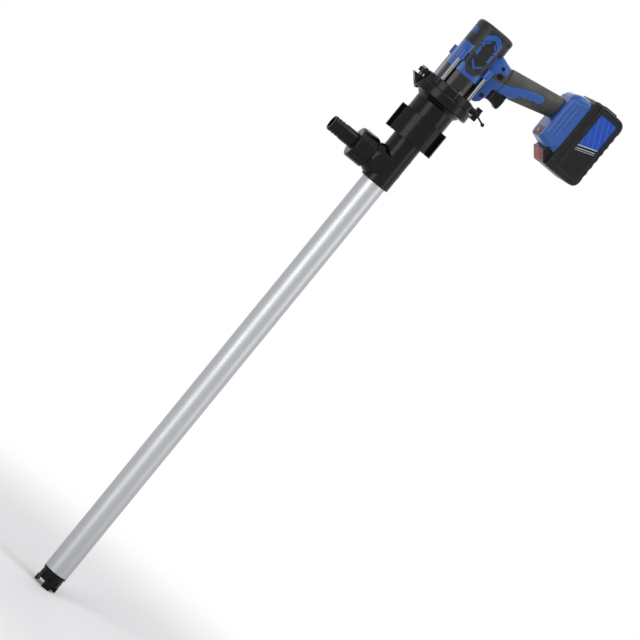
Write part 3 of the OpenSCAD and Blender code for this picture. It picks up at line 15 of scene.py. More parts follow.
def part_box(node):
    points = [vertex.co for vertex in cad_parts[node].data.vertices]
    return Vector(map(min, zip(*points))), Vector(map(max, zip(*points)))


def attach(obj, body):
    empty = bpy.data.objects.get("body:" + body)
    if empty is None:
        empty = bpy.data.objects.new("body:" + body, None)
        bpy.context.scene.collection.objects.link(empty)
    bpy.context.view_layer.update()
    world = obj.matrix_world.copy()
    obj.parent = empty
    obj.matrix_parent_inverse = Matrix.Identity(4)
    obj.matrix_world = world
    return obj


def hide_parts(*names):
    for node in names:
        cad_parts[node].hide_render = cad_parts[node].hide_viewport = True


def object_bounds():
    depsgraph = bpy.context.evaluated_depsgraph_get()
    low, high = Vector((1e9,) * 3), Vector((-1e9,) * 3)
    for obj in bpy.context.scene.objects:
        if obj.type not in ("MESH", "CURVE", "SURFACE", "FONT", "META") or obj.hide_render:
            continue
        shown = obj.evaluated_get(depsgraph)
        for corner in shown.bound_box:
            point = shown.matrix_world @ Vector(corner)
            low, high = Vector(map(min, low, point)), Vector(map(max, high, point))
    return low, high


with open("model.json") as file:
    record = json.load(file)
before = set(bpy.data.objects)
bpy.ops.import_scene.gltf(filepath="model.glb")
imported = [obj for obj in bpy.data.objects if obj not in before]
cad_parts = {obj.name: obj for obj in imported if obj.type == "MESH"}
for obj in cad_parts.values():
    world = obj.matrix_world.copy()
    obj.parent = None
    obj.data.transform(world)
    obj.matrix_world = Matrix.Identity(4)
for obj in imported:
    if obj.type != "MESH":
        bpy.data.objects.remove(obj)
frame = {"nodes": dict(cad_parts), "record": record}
solids = frame["nodes"]
cad_lo, cad_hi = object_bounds()
print("CAD pieces:", len(solids), "size in mm:", [round(v * 1000, 1) for v in cad_hi - cad_lo])

# %% [markdown]
# ## Camera
# A short lens from near by would show the foot small and the driver large. A long lens from four
# metres keeps the pump's lines almost parallel, as in a catalogue picture. The camera is rolled, so
# the upright pump leans across the frame. Its three directions are worked out from the angle round
# the pump, the angle above it and the roll.

# %% Camera
MM = 0.001
TURN = math.radians(-15)
RISE = math.radians(3)
LEAN = math.radians(39.29)
DISTANCE = 4.0
LENS = 159.3
SENSOR = 36
AIM = (63.95, 158.1)


def camera_axes(turn, rise, lean):
    """The camera's right, up and backward directions: turned round Z, raised, then rolled."""
    across = Vector((math.cos(turn), math.sin(turn), 0))
    back = Vector((math.sin(turn) * math.cos(rise), -math.cos(turn) * math.cos(rise), math.sin(rise)))
    above = back.cross(across)
    right = across * math.cos(lean) + above * math.sin(lean)
    up = above * math.cos(lean) - across * math.sin(lean)
    return across, right, up, back


across, right, up, back = camera_axes(TURN, RISE, LEAN)
target = across * AIM[0] * MM + Vector((0, 0, AIM[1] * MM))
camera = bpy.data.objects.new("camera", bpy.data.cameras.new("camera"))
bpy.context.scene.collection.objects.link(camera)
camera.data.lens = LENS
camera.data.sensor_width = SENSOR
stand = Matrix.Translation(target + back * DISTANCE)
camera.matrix_world = stand @ Matrix((right, up, back)).transposed().to_4x4()
bpy.context.scene.camera = camera
print("camera stands at", [round(v, 3) for v in camera.matrix_world.translation])

# %% [markdown]
# ## Shader maths as Python
# A finish is a sum of simple patterns. It is easier to read as arithmetic than as a web of nodes,
# so one small class stands for a socket: adding or multiplying two of them adds the Math node that
# does it. The reflected forms let a plain number stand first, as in 1 - mask.


# %% A socket as a number
def srgb(red, green, blue):
    """A colour given as 0 to 255 on a screen, in the linear light that a shader takes."""
    share = np.array([red, green, blue]) / 255
    linear = np.where(share <= 0.04045, share / 12.92, ((share + 0.055) / 1.055) ** 2.4)
    return (*linear.tolist(), 1.0)


class Field:
    """A value that varies over a surface: an output socket with Python's operators."""

    def __init__(self, recipe, socket):
        self.recipe = recipe
        self.socket = socket

    def math(self, operation, first, second=0.0):
        return self.recipe.node("Math", {"operation": operation}, {0: first, 1: second})

    def __add__(self, other):
        return self.math("ADD", self, other)

    def __radd__(self, other):
        return self.math("ADD", other, self)

    def __sub__(self, other):
        return self.math("SUBTRACT", self, other)

    def __rsub__(self, other):
        return self.math("SUBTRACT", other, self)

    def __mul__(self, other):
        return self.math("MULTIPLY", self, other)

    def __rmul__(self, other):
        return self.math("MULTIPLY", other, self)

    def __pow__(self, other):
        return self.math("POWER", self, other)

    def __mod__(self, other):
        return self.math("FLOORED_MODULO", self, other)

    def __abs__(self):
        return self.math("ABSOLUTE", self)

    def lower(self, other):
        return self.math("MINIMUM", self, other)

    def higher(self, other):
        return self.math("MAXIMUM", self, other)


print("middle grey in linear light:", round(srgb(128, 128, 128)[0], 3))

# %% [markdown]
# ## One way to add a node
# Every other node comes from one method, which takes the node's type, its settings, and the value
# or link of each socket. The settings go first, because some of them change which sockets there
# are. A soft step, a band and a mix of two colours are built on it, and they are nearly all that
# the prints on this pump need.


# %% Recipes
class Recipe:
    """A node tree being written, and the masks that its patterns share."""

    def __init__(self, tree):
        self.tree = tree
        tree.nodes.clear()

    def node(self, kind, settings, values, out=0):
        """Adds a node: its settings first, then the value or link of each socket."""
        made = self.tree.nodes.new("ShaderNode" + kind)
        for key, value in settings.items():
            setattr(made, key, value)
        for key, value in values.items():
            if isinstance(value, Field):
                self.tree.links.new(value.socket, made.inputs[key])
            else:
                made.inputs[key].default_value = value
        return Field(self, made.outputs[out]) if made.outputs else None

    def mix(self, share, first, second):
        """The first colour where share is 0, the second where it is 1."""
        return self.node("Mix", {"data_type": "RGBA"}, {0: share, 6: first, 7: second}, 2)

    def edge(self, value, start, end):
        """0 below start, 1 above end, and a smooth S between."""
        return self.node(
            "MapRange", {"interpolation_type": "SMOOTHSTEP"}, {0: value, 1: start, 2: end, 3: 0.0, 4: 1.0}
        )

    def band(self, value, low, high, soft):
        """1 between low and high, with soft borders."""
        return self.edge(value, low - soft, low) * (1 - self.edge(value, high, high + soft))

    def seen(self):
        """1 for what the eye, a mirror or glass sees directly, 0 for light on its way to a surface."""
        eye, mirror, glass = (
            self.node("LightPath", {}, {}, f"Is {ray} Ray") for ray in ("Camera", "Glossy", "Transmission")
        )
        return eye.higher(mirror).higher(glass)


print("masks:", [name for name in vars(Recipe) if name in ("mix", "edge", "band", "seen")])

# %% [markdown]
# ## Patterns of a surface
# Real surfaces are uneven at three scales: soft clouds a few centimetres wide, a fine grain, and
# edges that are a little round and rubbed paler. Pictures could carry all this, but patterns that
# are worked out from the place on the piece need no file and no seam, and stay sharp close up.


# %% Finishes
PER_METRE = 1000


class Finish(Recipe):
    """A material being mixed. The coordinates x, y and z are the object's, in millimetres."""

    def __init__(self, name):
        self.material = bpy.data.materials.new(name)
        self.material.use_nodes = True
        super().__init__(self.material.node_tree)
        self.place = self.node("TexCoord", {}, {}, "Object")
        parts = self.node("SeparateXYZ", {}, {0: self.place}).socket.node.outputs
        self.x, self.y, self.z = (Field(self, part) * PER_METRE for part in parts)

    def noise(self, size, detail=2.0, stretch=(1, 1, 1)):
        """Soft cloudy noise between 0 and 1, its lumps about size millimetres across."""
        scale = tuple(PER_METRE / (size * s) for s in stretch)
        place = self.node("Mapping", {}, {"Vector": self.place, "Scale": scale})
        return self.node("TexNoise", {}, {"Vector": place, "Scale": 1.0, "Detail": detail, "Roughness": 0.5})

    def uneven(self, size, amount, detail=4.0):
        """A roughness that wanders by half of amount each way, in clouds of that size."""
        return (self.noise(size, detail) - 0.5) * amount

    def cells(self, size):
        """Distance to the nearest of scattered points, about size millimetres apart."""
        return self.node("TexVoronoi", {"feature": "F1"}, {"Vector": self.place, "Scale": PER_METRE / size})

    def rounded(self, radius):
        """A normal that looks across sharp edges, so that they catch light like moulded ones."""
        return self.node("Bevel", {"samples": 6}, {"Radius": radius * MM})

    def wear(self, radius):
        """How much of an edge a point is: 1 less the cosine between the plain and rounded normal."""
        plain = self.node("NewGeometry", {}, {}, "Normal")
        same = self.node(
            "VectorMath", {"operation": "DOT_PRODUCT"}, {0: self.rounded(radius), 1: plain}, "Value"
        )
        return self.edge(1 - same, 0.02, 0.3)

    def rubbed(self, radius=0.9, patch=9, start=0.3):
        """Edges worn by hands and benches, in patches about that many millimetres across."""
        return self.wear(radius) * self.edge(self.noise(patch, 3.0), start, 0.7)

    def bump(self, height, depth, normal):
        """The normal of a surface raised by height, which is 0 to 1, times depth millimetres."""
        return self.node(
            "Bump", {}, {"Strength": 1.0, "Distance": depth * MM, "Height": height, "Normal": normal}
        )

    def done(self, colour, roughness, normal, **sockets):
        """Ends the finish in one Principled surface and gives the material."""
        values = {"Base Color": colour, "Roughness": roughness, "Normal": normal}
        values.update({key.replace("_", " "): value for key, value in sockets.items()})
        surface = self.node("BsdfPrincipled", {}, values)
        self.node("OutputMaterial", {}, {"Surface": surface})
        return self.material


print("patterns:", [name for name in vars(Finish) if not name.startswith("_")])

# %% [markdown]
# ## Moulded plastic
# Nearly every dark part is glass-filled nylon. Its mould is spark-eroded, so the skin is a fine
# grain that breaks up highlights. Corners are rubbed smoother and paler by hands and by the bench.
# One recipe takes the colour, the grain and how much it has been handled, because the parts differ
# in nothing else.


# %% Plastics
def darker(colour, share):
    """The same colour with that share of its light."""
    return tuple(c * share for c in colour[:3]) + (1.0,)


def plastic(name, colour, sheen=0.4, depth=0.004, worn=0.05, gloss=0.3):
    """Colour clouds, a spark-eroded grain, and edges rubbed paler and smoother."""
    f = Finish(name)
    rubbed = f.rubbed(start=0.35)
    pale = tuple(min(1.0, c + worn) for c in colour[:3]) + (1.0,)
    tone = f.mix(f.noise(38, 3.0) * 0.35, colour, darker(colour, 0.72))
    tone = f.mix(rubbed * 0.55, tone, pale)
    rough = sheen + f.uneven(14, 0.16) - rubbed * 0.08
    normal = f.bump(f.noise(0.7), depth, f.rounded(0.6))
    return f.done(tone, rough, normal, Specular_IOR_Level=gloss)


finishes = {
    "black_plastic": plastic("black_nylon", srgb(9, 10, 11), sheen=0.2, depth=0.003, gloss=0.17, worn=0.03),
    "charcoal_plastic": plastic("charcoal_nylon", srgb(24, 25, 26), sheen=0.36, gloss=0.2),
    "white_plastic": plastic("white_acetal", srgb(226, 226, 220), sheen=0.35, worn=0.0),
    "red_plastic": plastic("red_nylon", srgb(190, 28, 32), sheen=0.38),
    "orange_plastic": plastic("orange_nylon", srgb(226, 110, 30), sheen=0.36),
    "coupling_red": plastic("red_urethane", srgb(168, 34, 30), sheen=0.5),
    "board_green": plastic("board_lacquer", srgb(20, 84, 46), sheen=0.3, worn=0.0),
    "cell_wrap": plastic("cell_sleeve", srgb(60, 130, 96), sheen=0.28, worn=0.0),
    "gearbox_black": plastic("gearbox_lacquer", srgb(22, 15, 13), sheen=0.22, depth=0.003, gloss=0.36),
}
print("plastics:", len(finishes))

# %% [markdown]
# ## Rubber
# The grip is soft rubber moulded over the handle, and the seals are nitrile. Rubber is duller than
# plastic, and pale dust lies in its grain. Scattered cells give its beads, because noise alone
# would look like cloth.


# %% Rubbers
def rubber(name, colour, dust, grain):
    """A matt skin with dust lying in its coarse grain."""
    f = Finish(name)
    bead = f.cells(grain)
    dusty = f.edge(f.noise(24, 4.0), 0.42, 0.75)
    tone = f.mix(dusty * 0.5 + f.edge(bead, 0.3, 0.8) * 0.25, colour, dust)
    normal = f.bump(1 - bead, 0.05, f.rounded(0.6))
    return f.done(tone, 0.62 + f.uneven(6, 0.2, 3.0), normal)


finishes["grip_rubber"] = rubber("grip_rubber", srgb(44, 45, 44), srgb(92, 92, 86), 0.9)
finishes["seal_rubber"] = rubber("seal_rubber", srgb(18, 18, 19), srgb(50, 50, 52), 0.5)
print("rubbers: 2, finishes so far:", len(finishes))

# %% [markdown]
# ## Metals
# The tube is drawn aluminium, satin anodised: fine lines run along it. Turned parts carry rings
# round their axis, and plated ones are smooth with a little haze. A metal's own colour is its
# reflection, so the recipe varies mostly its roughness and a shallow bump.


# %% Metals
def metal(name, colour, rough, streak, stretch, depth, haze=0.12, tint=0.2):
    """Lines stretched along one axis over a metal, with cloudy haze and rounded edges."""
    f = Finish(name)
    line = f.noise(streak, 3.0, stretch)
    cloud = f.noise(46, 3.0)
    tone = f.mix(line * tint + cloud * 0.18, colour, darker(colour, 0.62))
    gloss = rough + (cloud - 0.5) * haze + (line - 0.5) * haze
    return f.done(tone, gloss, f.bump(line, depth, f.rounded(0.35)), Metallic=1.0)


EVERY_WAY = (1, 1, 1)
ALONG_Z = (1, 1, 60)
ROUND_Z = (30, 30, 1)
finishes["satin_aluminium"] = metal("drawn_aluminium", srgb(182, 184, 187), 0.42, 1.6, ALONG_Z, 0.002)
finishes["chrome_post"] = metal("chrome", srgb(120, 122, 128), 0.18, 0.3, ROUND_Z, 0.001, 0.05, 0.3)
finishes["steel"] = metal("turned_steel", srgb(176, 178, 182), 0.26, 0.3, ROUND_Z, 0.004)
finishes["zinc_steel"] = metal("zinc_plate", srgb(84, 85, 88), 0.34, 0.8, EVERY_WAY, 0.003)
finishes["bronze"] = metal("sintered_bronze", srgb(186, 140, 84), 0.42, 0.4, EVERY_WAY, 0.02)
finishes["cast_aluminium"] = metal("cast_aluminium", srgb(176, 177, 180), 0.48, 0.9, EVERY_WAY, 0.03)
finishes["stator_copper"] = metal("wound_copper", srgb(190, 104, 62), 0.35, 0.5, (1, 1, 24), 0.06)
black_oxide = metal("black_oxide", srgb(42, 42, 46), 0.4, 0.8, EVERY_WAY, 0.003)
print("metals: 8, finishes so far:", len(finishes))

# %% [markdown]
# ## The blue housing
# Two blue shells meet on the middle plane. The real one is a cobalt nylon, glossier than the black
# parts, so it shows long soft highlights. The grip's rubber runs forward under the shoulder as a
# pointed wedge. It could be a piece of its own, but it lies flush, so a mask in the material is
# enough: its upper line rises in two slopes, and its lower line lies nearly level.

# %% Housing finish
COBALT = srgb(28, 78, 153)
COBALT_DEEP = srgb(18, 54, 120)
WEDGE_STEEP = (30, 577, 1.75)
WEDGE_GENTLE = (34, 584, 0.43)
WEDGE_LOW = (43, 575, 0.33)
WEDGE_OPEN = 47.4
WEDGE_END = 53.5


def wedge_mask(f):
    """1 under two rising lines and over a third, each given as x, z and slope, up to WEDGE_END in x.
    Past WEDGE_OPEN the upper border is lifted away, because the sleeve covers the housing there."""
    steep, gentle = (z + (f.x - x) * slope for x, z, slope in (WEDGE_STEEP, WEDGE_GENTLE))
    x, z, slope = WEDGE_LOW
    lower = z + (f.x - x).higher(0.0) * slope
    upper = steep.lower(gentle) + f.edge(f.x, WEDGE_OPEN, WEDGE_OPEN + 1) * 40
    inside = f.edge(upper - f.z, 0, 0.4) * f.edge(f.z - lower, 0, 0.4)
    return inside * (1 - f.edge(f.x, WEDGE_END, WEDGE_END + 0.5))


def housing_blue():
    """Cobalt nylon, with a wedge of rubber where the grip runs forward under the shoulder."""
    f = Finish("cobalt_nylon")
    tone = f.mix(f.noise(44, 3.0) * 0.4, COBALT, COBALT_DEEP)
    tone = f.mix(f.rubbed() * 0.5, tone, srgb(84, 128, 214))
    wedge = wedge_mask(f)
    bead = f.cells(1.1)
    soft = f.mix(f.edge(bead, 0.3, 0.8) * 0.4, srgb(38, 39, 38), srgb(84, 84, 76))
    rough = 0.3 + f.uneven(14, 0.12) + wedge * 0.32
    normal = f.bump(f.noise(0.8) + wedge * (1 - bead) * 6, 0.006, f.rounded(0.7))
    return f.done(f.mix(wedge, tone, soft), rough, normal, Specular_IOR_Level=0.42)


finishes["blue_plastic"] = housing_blue()
print("finishes for the solids:", len(finishes))

# %% [markdown]
# ## Dressing the solids
# The frame's record names one material slot for every solid, so the finishes go on by that name.
# The screws in the housing are an exception: on the real driver they are blackened, not plated.

# %% Give each solid its finish
slot_of = {p["node"]: p["material_slot"] for p in frame["record"]["subparts"]}
for name, solid in solids.items():
    solid.data.materials[0] = finishes[slot_of[name]]
solids["housing_screws"].data.materials[0] = black_oxide
print("finished solids:", len(slot_of))

# %% [markdown]
# ## New pieces as swept surfaces
# A moulded cover is one closed skin. Its outline is drawn in a plane with rounded corners, and a
# list of steps says how far each ring has moved toward an inner outline, then toward the middle,
# and how high it stands. That makes lids, frames and pads from one short recipe, with no seams.


# %% Outlines and sweeps
def even(path, count):
    """A closed path sampled again at count equal steps of its length."""
    closed = np.vstack([path, path[:1]])
    run = np.concatenate([[0], np.cumsum(np.linalg.norm(np.diff(closed, axis=0), axis=1))])
    at = np.linspace(0, run[-1], count, endpoint=False)
    return np.column_stack([np.interp(at, run, closed[:, i]) for i in range(2)])


def rounded(corners, radius, count):
    """Closed outline: a parabola cuts each corner, starting and ending radius away from it."""
    corners = np.array(corners, float)
    radius = np.broadcast_to(radius, len(corners))[:, None]
    before = np.roll(corners, 1, 0) - corners
    after = np.roll(corners, -1, 0) - corners
    start = corners + before / np.linalg.norm(before, axis=1, keepdims=True) * radius
    end = corners + after / np.linalg.norm(after, axis=1, keepdims=True) * radius
    t = np.linspace(0, 1, 11)[:, None, None]
    arcs = (1 - t) ** 2 * start + 2 * t * (1 - t) * corners + t**2 * end
    return even(arcs.transpose(1, 0, 2).reshape(-1, 2), count)


def sweep(outer, inner, steps):
    """Rings between two outlines: a step (a, b, h) gives (1 - a - b) outer + a inner + b middle at
    the height h."""
    a, b, height = np.array(steps, float).T[:, :, None, None]
    middle = (inner.min(0) + inner.max(0)) / 2
    plan = (1 - a - b) * outer + a * inner + b * middle
    return np.concatenate([plan, np.broadcast_to(height, plan.shape[:2] + (1,))], -1)


def round_over(a, low, high, steps=7):
    """Steps of a quarter round: from share a of the way inward at low to the outer line at high."""
    turn = np.linspace(0, math.pi / 2, steps)
    return [(a * (1 - math.sin(t)), 0, low + (high - low) * (1 - math.cos(t))) for t in turn]


def mirrored(side):
    """Steps from one face through the middle to the other: the same rings, then with heights negated."""
    return side + [(a, b, -h) for a, b, h in reversed(side)]


square = rounded([(0, 0), (10, 0), (10, 10), (0, 10)], 2, 80)
around = np.linalg.norm(square - np.roll(square, 1, 0), axis=1).sum()
print("a 10 mm square with soft corners is", round(float(around), 1), "mm round")

# %% [markdown]
# ## From a grid to a piece
# Every new piece is a grid of points whose columns close in a ring. Its rows either end in two
# poles, which makes a cap or a pad, or close on themselves, which makes a sleeve. The faces are
# turned outward by the sign of the volume that they enclose.


# %% Faces of a grid
def faces_of(rows, cols, poles):
    """Faces of a grid closed round its columns: fans at the poles, or closed round its rows too."""
    if poles:
        index = 1 + np.arange((rows - 2) * cols).reshape(rows - 2, cols)
        last = 1 + (rows - 2) * cols
        first_ring, end_ring = index[0], index[-1]
        fans = [
            np.stack([np.zeros(cols, int), np.roll(first_ring, -1), first_ring], -1),
            np.stack([np.full(cols, last), end_ring, np.roll(end_ring, -1)], -1),
        ]
        lower = index[:-1]
        upper = index[1:]
    else:
        index = np.arange(rows * cols).reshape(rows, cols)
        fans = []
        lower = index
        upper = np.roll(index, -1, 0)
    quads = np.stack([lower, np.roll(lower, -1, 1), np.roll(upper, -1, 1), upper], -1).reshape(-1, 4)
    return quads, fans


print("a grid of 4 rows and 6 columns has", len(faces_of(4, 6, False)[0]), "faces when it closes")

# %% [markdown]
# ## Pieces that ride on a body
# A piece has to follow the body that it sits on when a joint moves. So the same helper that builds
# a mesh also hangs it on an empty named for the body that carries it, and gives it its finish.
# Edges flatter than an angle are shaded smooth, and sharper ones stay crisp.


# %% Skins
def skin(name, grid, body, finish, poles=True, sharp=38, fields=None):
    """A closed mesh from a grid of points in millimetres, faces outward, that rides on a body."""
    rows, cols = grid.shape[:2]
    keep = [grid[:1, 0], grid[1:-1].reshape(-1, 3), grid[-1:, 0]] if poles else [grid.reshape(-1, 3)]
    points = np.concatenate(keep) * MM
    quads, fans = faces_of(rows, cols, poles)
    corners = np.concatenate([quads[:, [0, 1, 2]], quads[:, [0, 2, 3]], *fans])
    a, b, c = (points[corners[:, i]] for i in range(3))
    inside_out = np.einsum("ij,ij->", a, np.cross(b, c)) < 0
    faces = [f for part in [quads, *fans] for f in (part[:, ::-1] if inside_out else part).tolist()]
    mesh = bpy.data.meshes.new(name)
    mesh.from_pydata(points.tolist(), [], faces)
    for key, value in (fields or {}).items():
        layer = mesh.attributes.new(key, "FLOAT", "POINT")
        layer.data.foreach_set("value", np.ravel(value).astype(np.float32))
    mesh.shade_smooth()
    mesh.set_sharp_from_angle(angle=math.radians(sharp))
    mesh.materials.append(finish)
    piece = bpy.data.objects.new(name, mesh)
    bpy.context.scene.collection.objects.link(piece)
    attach(piece, body)
    print(name, "has", len(faces), "faces")
    return piece


def corners_of(node):
    """A solid's lowest and highest corner, in millimetres."""
    low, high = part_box(node)
    return np.array(low) * PER_METRE, np.array(high) * PER_METRE


print("the tube spans", [np.round(corner, 1).tolist() for corner in corners_of("outer_tube")])

# %% [markdown]
# ## The head's outline
# The motor's housing is round with slightly flattened sides. Its cap and its side panels follow
# the same outline, so it is written once: a rounded rectangle with very large corners. One function
# walks round it, and another says how far its side stands out, for pieces that are bent onto it.


# %% Head outline
HEAD_CORNER = 26.0
SIDE_STEEP = 6
cap_low, cap_high = corners_of("rear_cap")
head_half = cap_high[:2]


def head_side(x):
    """Distance of the side from the middle plane at x: flat in the middle, then a quarter circle."""
    past = np.clip(np.abs(x) - (head_half[0] - HEAD_CORNER), 0, HEAD_CORNER)
    return head_half[1] - HEAD_CORNER + np.sqrt(HEAD_CORNER**2 - past**2)


def head_outline(inset, count=160):
    """A circle of the corner's radius less inset, pulled apart by tanh(steep cos t) along x and
    tanh(steep sin t) along y."""
    turn = np.linspace(0, 2 * math.pi, count, endpoint=False)
    way = np.column_stack([np.cos(turn), np.sin(turn)])
    return way * (HEAD_CORNER - inset) + np.tanh(way * SIDE_STEEP) * (head_half - HEAD_CORNER)


print("the head is", np.round(head_half * 2, 1).tolist(), "mm across")

# %% [markdown]
# ## The rear cap
# A charcoal cap closes the motor's housing, with a soft round-over at the top, and reaches lower on
# the side of the outlet. A turned shape can't follow the flattened sides, so rings of the head's
# outline run up the wall, over the edge and across a shallow dome, and the lowest rings step down.


# %% Rear cap
CAP_INNER = 20
CAP_WALL = 0.075
LIP_RISE = 8.0
LIP_DROP = 7.9
LIP_X = -14.5
LIP_SOFT = 0.35


def lip_height(x):
    """Height of the lower edge: level on the handle's side, then down by an S of tanh at LIP_X."""
    return cap_low[2] + LIP_RISE - LIP_DROP * (0.5 - 0.5 * np.tanh((x - LIP_X) / LIP_SOFT))


def rear_cap():
    """Rings from under the dome, down the inner wall and round the lip, up the outer wall past a
    groove, over the edge, across a ring-shaped groove and to the middle of the dome."""
    top = cap_high[2]
    under = [(0, 1, top - 2.6), (0, 0.6, top - 2.6), (CAP_WALL + 0.2, 0, top - 3.4), (CAP_WALL, 0, top - 8)]
    lip = [(CAP_WALL, 0, 1.0), (0, 0, 0.0), (0, 0, 1.2)]
    groove = [(0, 0, top - 13), (0.02, 0, top - 12.2), (0.02, 0, top - 11), (0, 0, top - 10.2)]
    shoulder = round_over(0.28, top - 0.45, top - 6.2, 9)[::-1]
    ring = [(0.34, 0, top - 0.42), (0.37, 0, top - 0.9), (0.42, 0, top - 0.9), (0.45, 0, top - 0.35)]
    dome = [(0.6, 0, top - 0.2), (0.2, 0.7, top), (0, 1, top)]
    steps = under + lip + groove + shoulder + ring + dome
    grid = sweep(head_outline(0), head_outline(CAP_INNER), steps)
    lips = slice(len(under), len(under) + len(lip))
    grid[lips, :, 2] += lip_height(grid[lips, :, 0])
    return grid


print("the lip steps down from", round(float(lip_height(0)), 1), "to", round(float(lip_height(-29)), 1))

# %% [markdown]
# ## The cap's print
# The side toward the outlet carries a small cobalt patch with dark stripes that rise toward the
# middle. It is paint, not relief, so it is a mask in the finish and needs no shape.


# %% Cap finish
PATCH_X = -21.5
PATCH_Z = (607.5, 617)
PATCH_HALF = 15
STRIPE_PITCH = 3.4


def cap_finish():
    """Charcoal nylon with a cobalt patch and dark stripes on the side of the outlet."""
    f = Finish("cap_print")
    patch = (1 - f.edge(f.x, PATCH_X, PATCH_X + 0.5)) * f.band(f.z, *PATCH_Z, 0.25)
    patch = patch * f.band(abs(f.y), -1, PATCH_HALF, 0.3)
    stripes = f.band((f.z + abs(f.y) * 0.25) % STRIPE_PITCH, 1.0, 1.9, 0.2)
    tone = f.mix(f.noise(38, 3.0) * 0.35, srgb(25, 26, 27), srgb(18, 19, 20))
    tone = f.mix(patch * (1 - stripes), tone, COBALT)
    tone = f.mix(f.rubbed(start=0.35) * 0.5, tone, srgb(84, 85, 88))
    rough = 0.4 + f.uneven(14, 0.16) - patch * 0.08
    normal = f.bump(f.noise(0.7), 0.004, f.rounded(0.5))
    return f.done(tone, rough, normal, Specular_IOR_Level=0.26)


cap = skin("rear_cap_shell", rear_cap(), "pump", cap_finish())
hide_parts("rear_cap")

# %% [markdown]
# ## The print of the side panels
# On each flat side of the head sits a panel: a raised frame round a dark field with blue patches.
# The patches are slanted bars, the same to the left and right of the middle. So a bar is one row of
# a table: how much it slants, its two borders in height, and where it starts and ends sideways.


# %% Panel finish
FIELD_HALF = 13.9
FIELD_Z = (566, 622.5)
BARS = [
    (0.8, 616.5, 626, -1, 20),
    (0.8, 611.5, 614.5, 3.2, 20),
    (-0.7, 578, 590, 8.6, 12.6),
    (-0.7, 592.5, 596, 8.6, 12.6),
    (-0.9, 566, 569.5, -1, 9),
]


def panel_finish():
    """Black field with slanted cobalt bars; the frame round it stays charcoal."""
    f = Finish("panel_print")
    side = abs(f.x)
    field = (1 - f.edge(side, FIELD_HALF, FIELD_HALF + 0.3)) * f.band(f.z, *FIELD_Z, 0.25)
    bars = [f.band(f.z + side * slant, low, high, 0.3) * f.band(side, near, far, 0.3)
            for slant, low, high, near, far in BARS]
    blue = sum(bars[1:], bars[0]).lower(1.0) * field
    base = f.mix(field, srgb(30, 31, 33), srgb(9, 10, 13))
    ink = f.mix(f.noise(20, 3.0) * 0.5, srgb(30, 80, 155), srgb(20, 58, 124))
    tone = f.mix(f.rubbed(0.6, 7) * 0.4, f.mix(blue, base, ink), srgb(96, 98, 102))
    rough = 0.4 - field * 0.14 + f.uneven(12, 0.14)
    normal = f.bump(f.noise(0.7) * (1 - field * 0.8), 0.004, f.rounded(0.4))
    return f.done(tone, rough, normal, Specular_IOR_Level=0.35)


print_finish = panel_finish()
print("bars on a panel:", len(BARS))

# %% [markdown]
# ## The side panels
# The frame is real relief that catches the light. The panel is drawn flat, as an outline with a
# pointed chin and a smaller copy of it inside, and is then bent onto the head's curve by adding its
# height to the head's own distance from the middle plane. Both sides are made from one drawing.


# %% Side panels
PANEL_POINTS = 168
PANEL_CORNERS = np.array([4, 4, 3, 3, 3, 3, 4, 4])
PANEL_INNER = 0.8
CHIN_SIDE = 13
CHIN_TURN = 4.3


def side_panel(side):
    """Back, edge, frame with a groove, step and field, each ring at head_side(x) plus its height."""
    low, high = corners_of("side_panel_left")
    half = high[0]
    outer = [(-half, high[2]), (-half, low[2] + CHIN_SIDE)]
    outer += [(-half * 0.6, low[2] + CHIN_TURN), (-half * 0.34, low[2])]
    outer += [(-x, z) for x, z in reversed(outer)]
    inner = [(x * PANEL_INNER, high[2] - 3.2 + (z - high[2]) * 0.92) for x, z in outer]
    outer = rounded(outer, PANEL_CORNERS, PANEL_POINTS)
    inner = rounded(inner, PANEL_CORNERS * PANEL_INNER, PANEL_POINTS)
    back = [(0, 1, 0.02), (0.9, 0, 0.02), (0, 0, 0.02), (0, 0, 0.7)]
    frame_rise = [(0.03, 0, 1.1), (0.1, 0, 1.38), (0.25, 0, 1.48), (0.45, 0, 1.48)]
    groove = [(0.5, 0, 1.2), (0.56, 0, 1.2), (0.62, 0, 1.48)]
    step = [(0.86, 0, 1.48), (0.95, 0, 1.3), (1, 0, 0.7)]
    field = [(0.9, 0.1, 0.66), (0.6, 0.4, 0.66), (0.3, 0.7, 0.66), (0, 1, 0.66)]
    grid = sweep(outer, inner, back + frame_rise + groove + step + field)
    x, z, height = np.moveaxis(grid, -1, 0)
    return np.stack([x, side * (head_side(x) + height), z], -1)


for name, side in (("left", -1), ("right", 1)):
    grid = side_panel(side)
    panel = skin(f"side_panel_{name}_frame", grid, "pump", print_finish, sharp=30)
    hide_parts(f"side_panel_{name}")

# %% [markdown]
# ## The handle's line
# The handle leaves the head at its back, rises a little and gets slimmer toward the battery. Both
# the sleeve and its tongue need that line, so its start, end, rise and heights stand here once.


# %% Handle
HANDLE_START = 29.5
HANDLE_END = 140.4
HANDLE_LEVEL = 576.3
HANDLE_RISE = 26.0
HANDLE_TALL = (43.0, 31.0)
HANDLE_WIDE = 31.0
RUBBER = 1.3


def along_handle(x):
    """Share of the handle's length at x."""
    return (x - HANDLE_START) / (HANDLE_END - HANDLE_START)


def handle_axis(x):
    """Height of the handle's middle line at x."""
    return HANDLE_LEVEL + HANDLE_RISE * along_handle(x)


print("the handle's middle ends", round(float(handle_axis(HANDLE_END)), 1), "mm high")

# %% [markdown]
# ## The blue tongue
# The rubber leaves a tongue of the blue housing bare on each side, and its lower edge is notched
# for the fingers. The tongue's two borders are drawn as lines over x. Their difference gives a field
# that is positive inside and negative outside, about in millimetres, which can press a groove at
# its zero line and also tell the material where the blue starts.


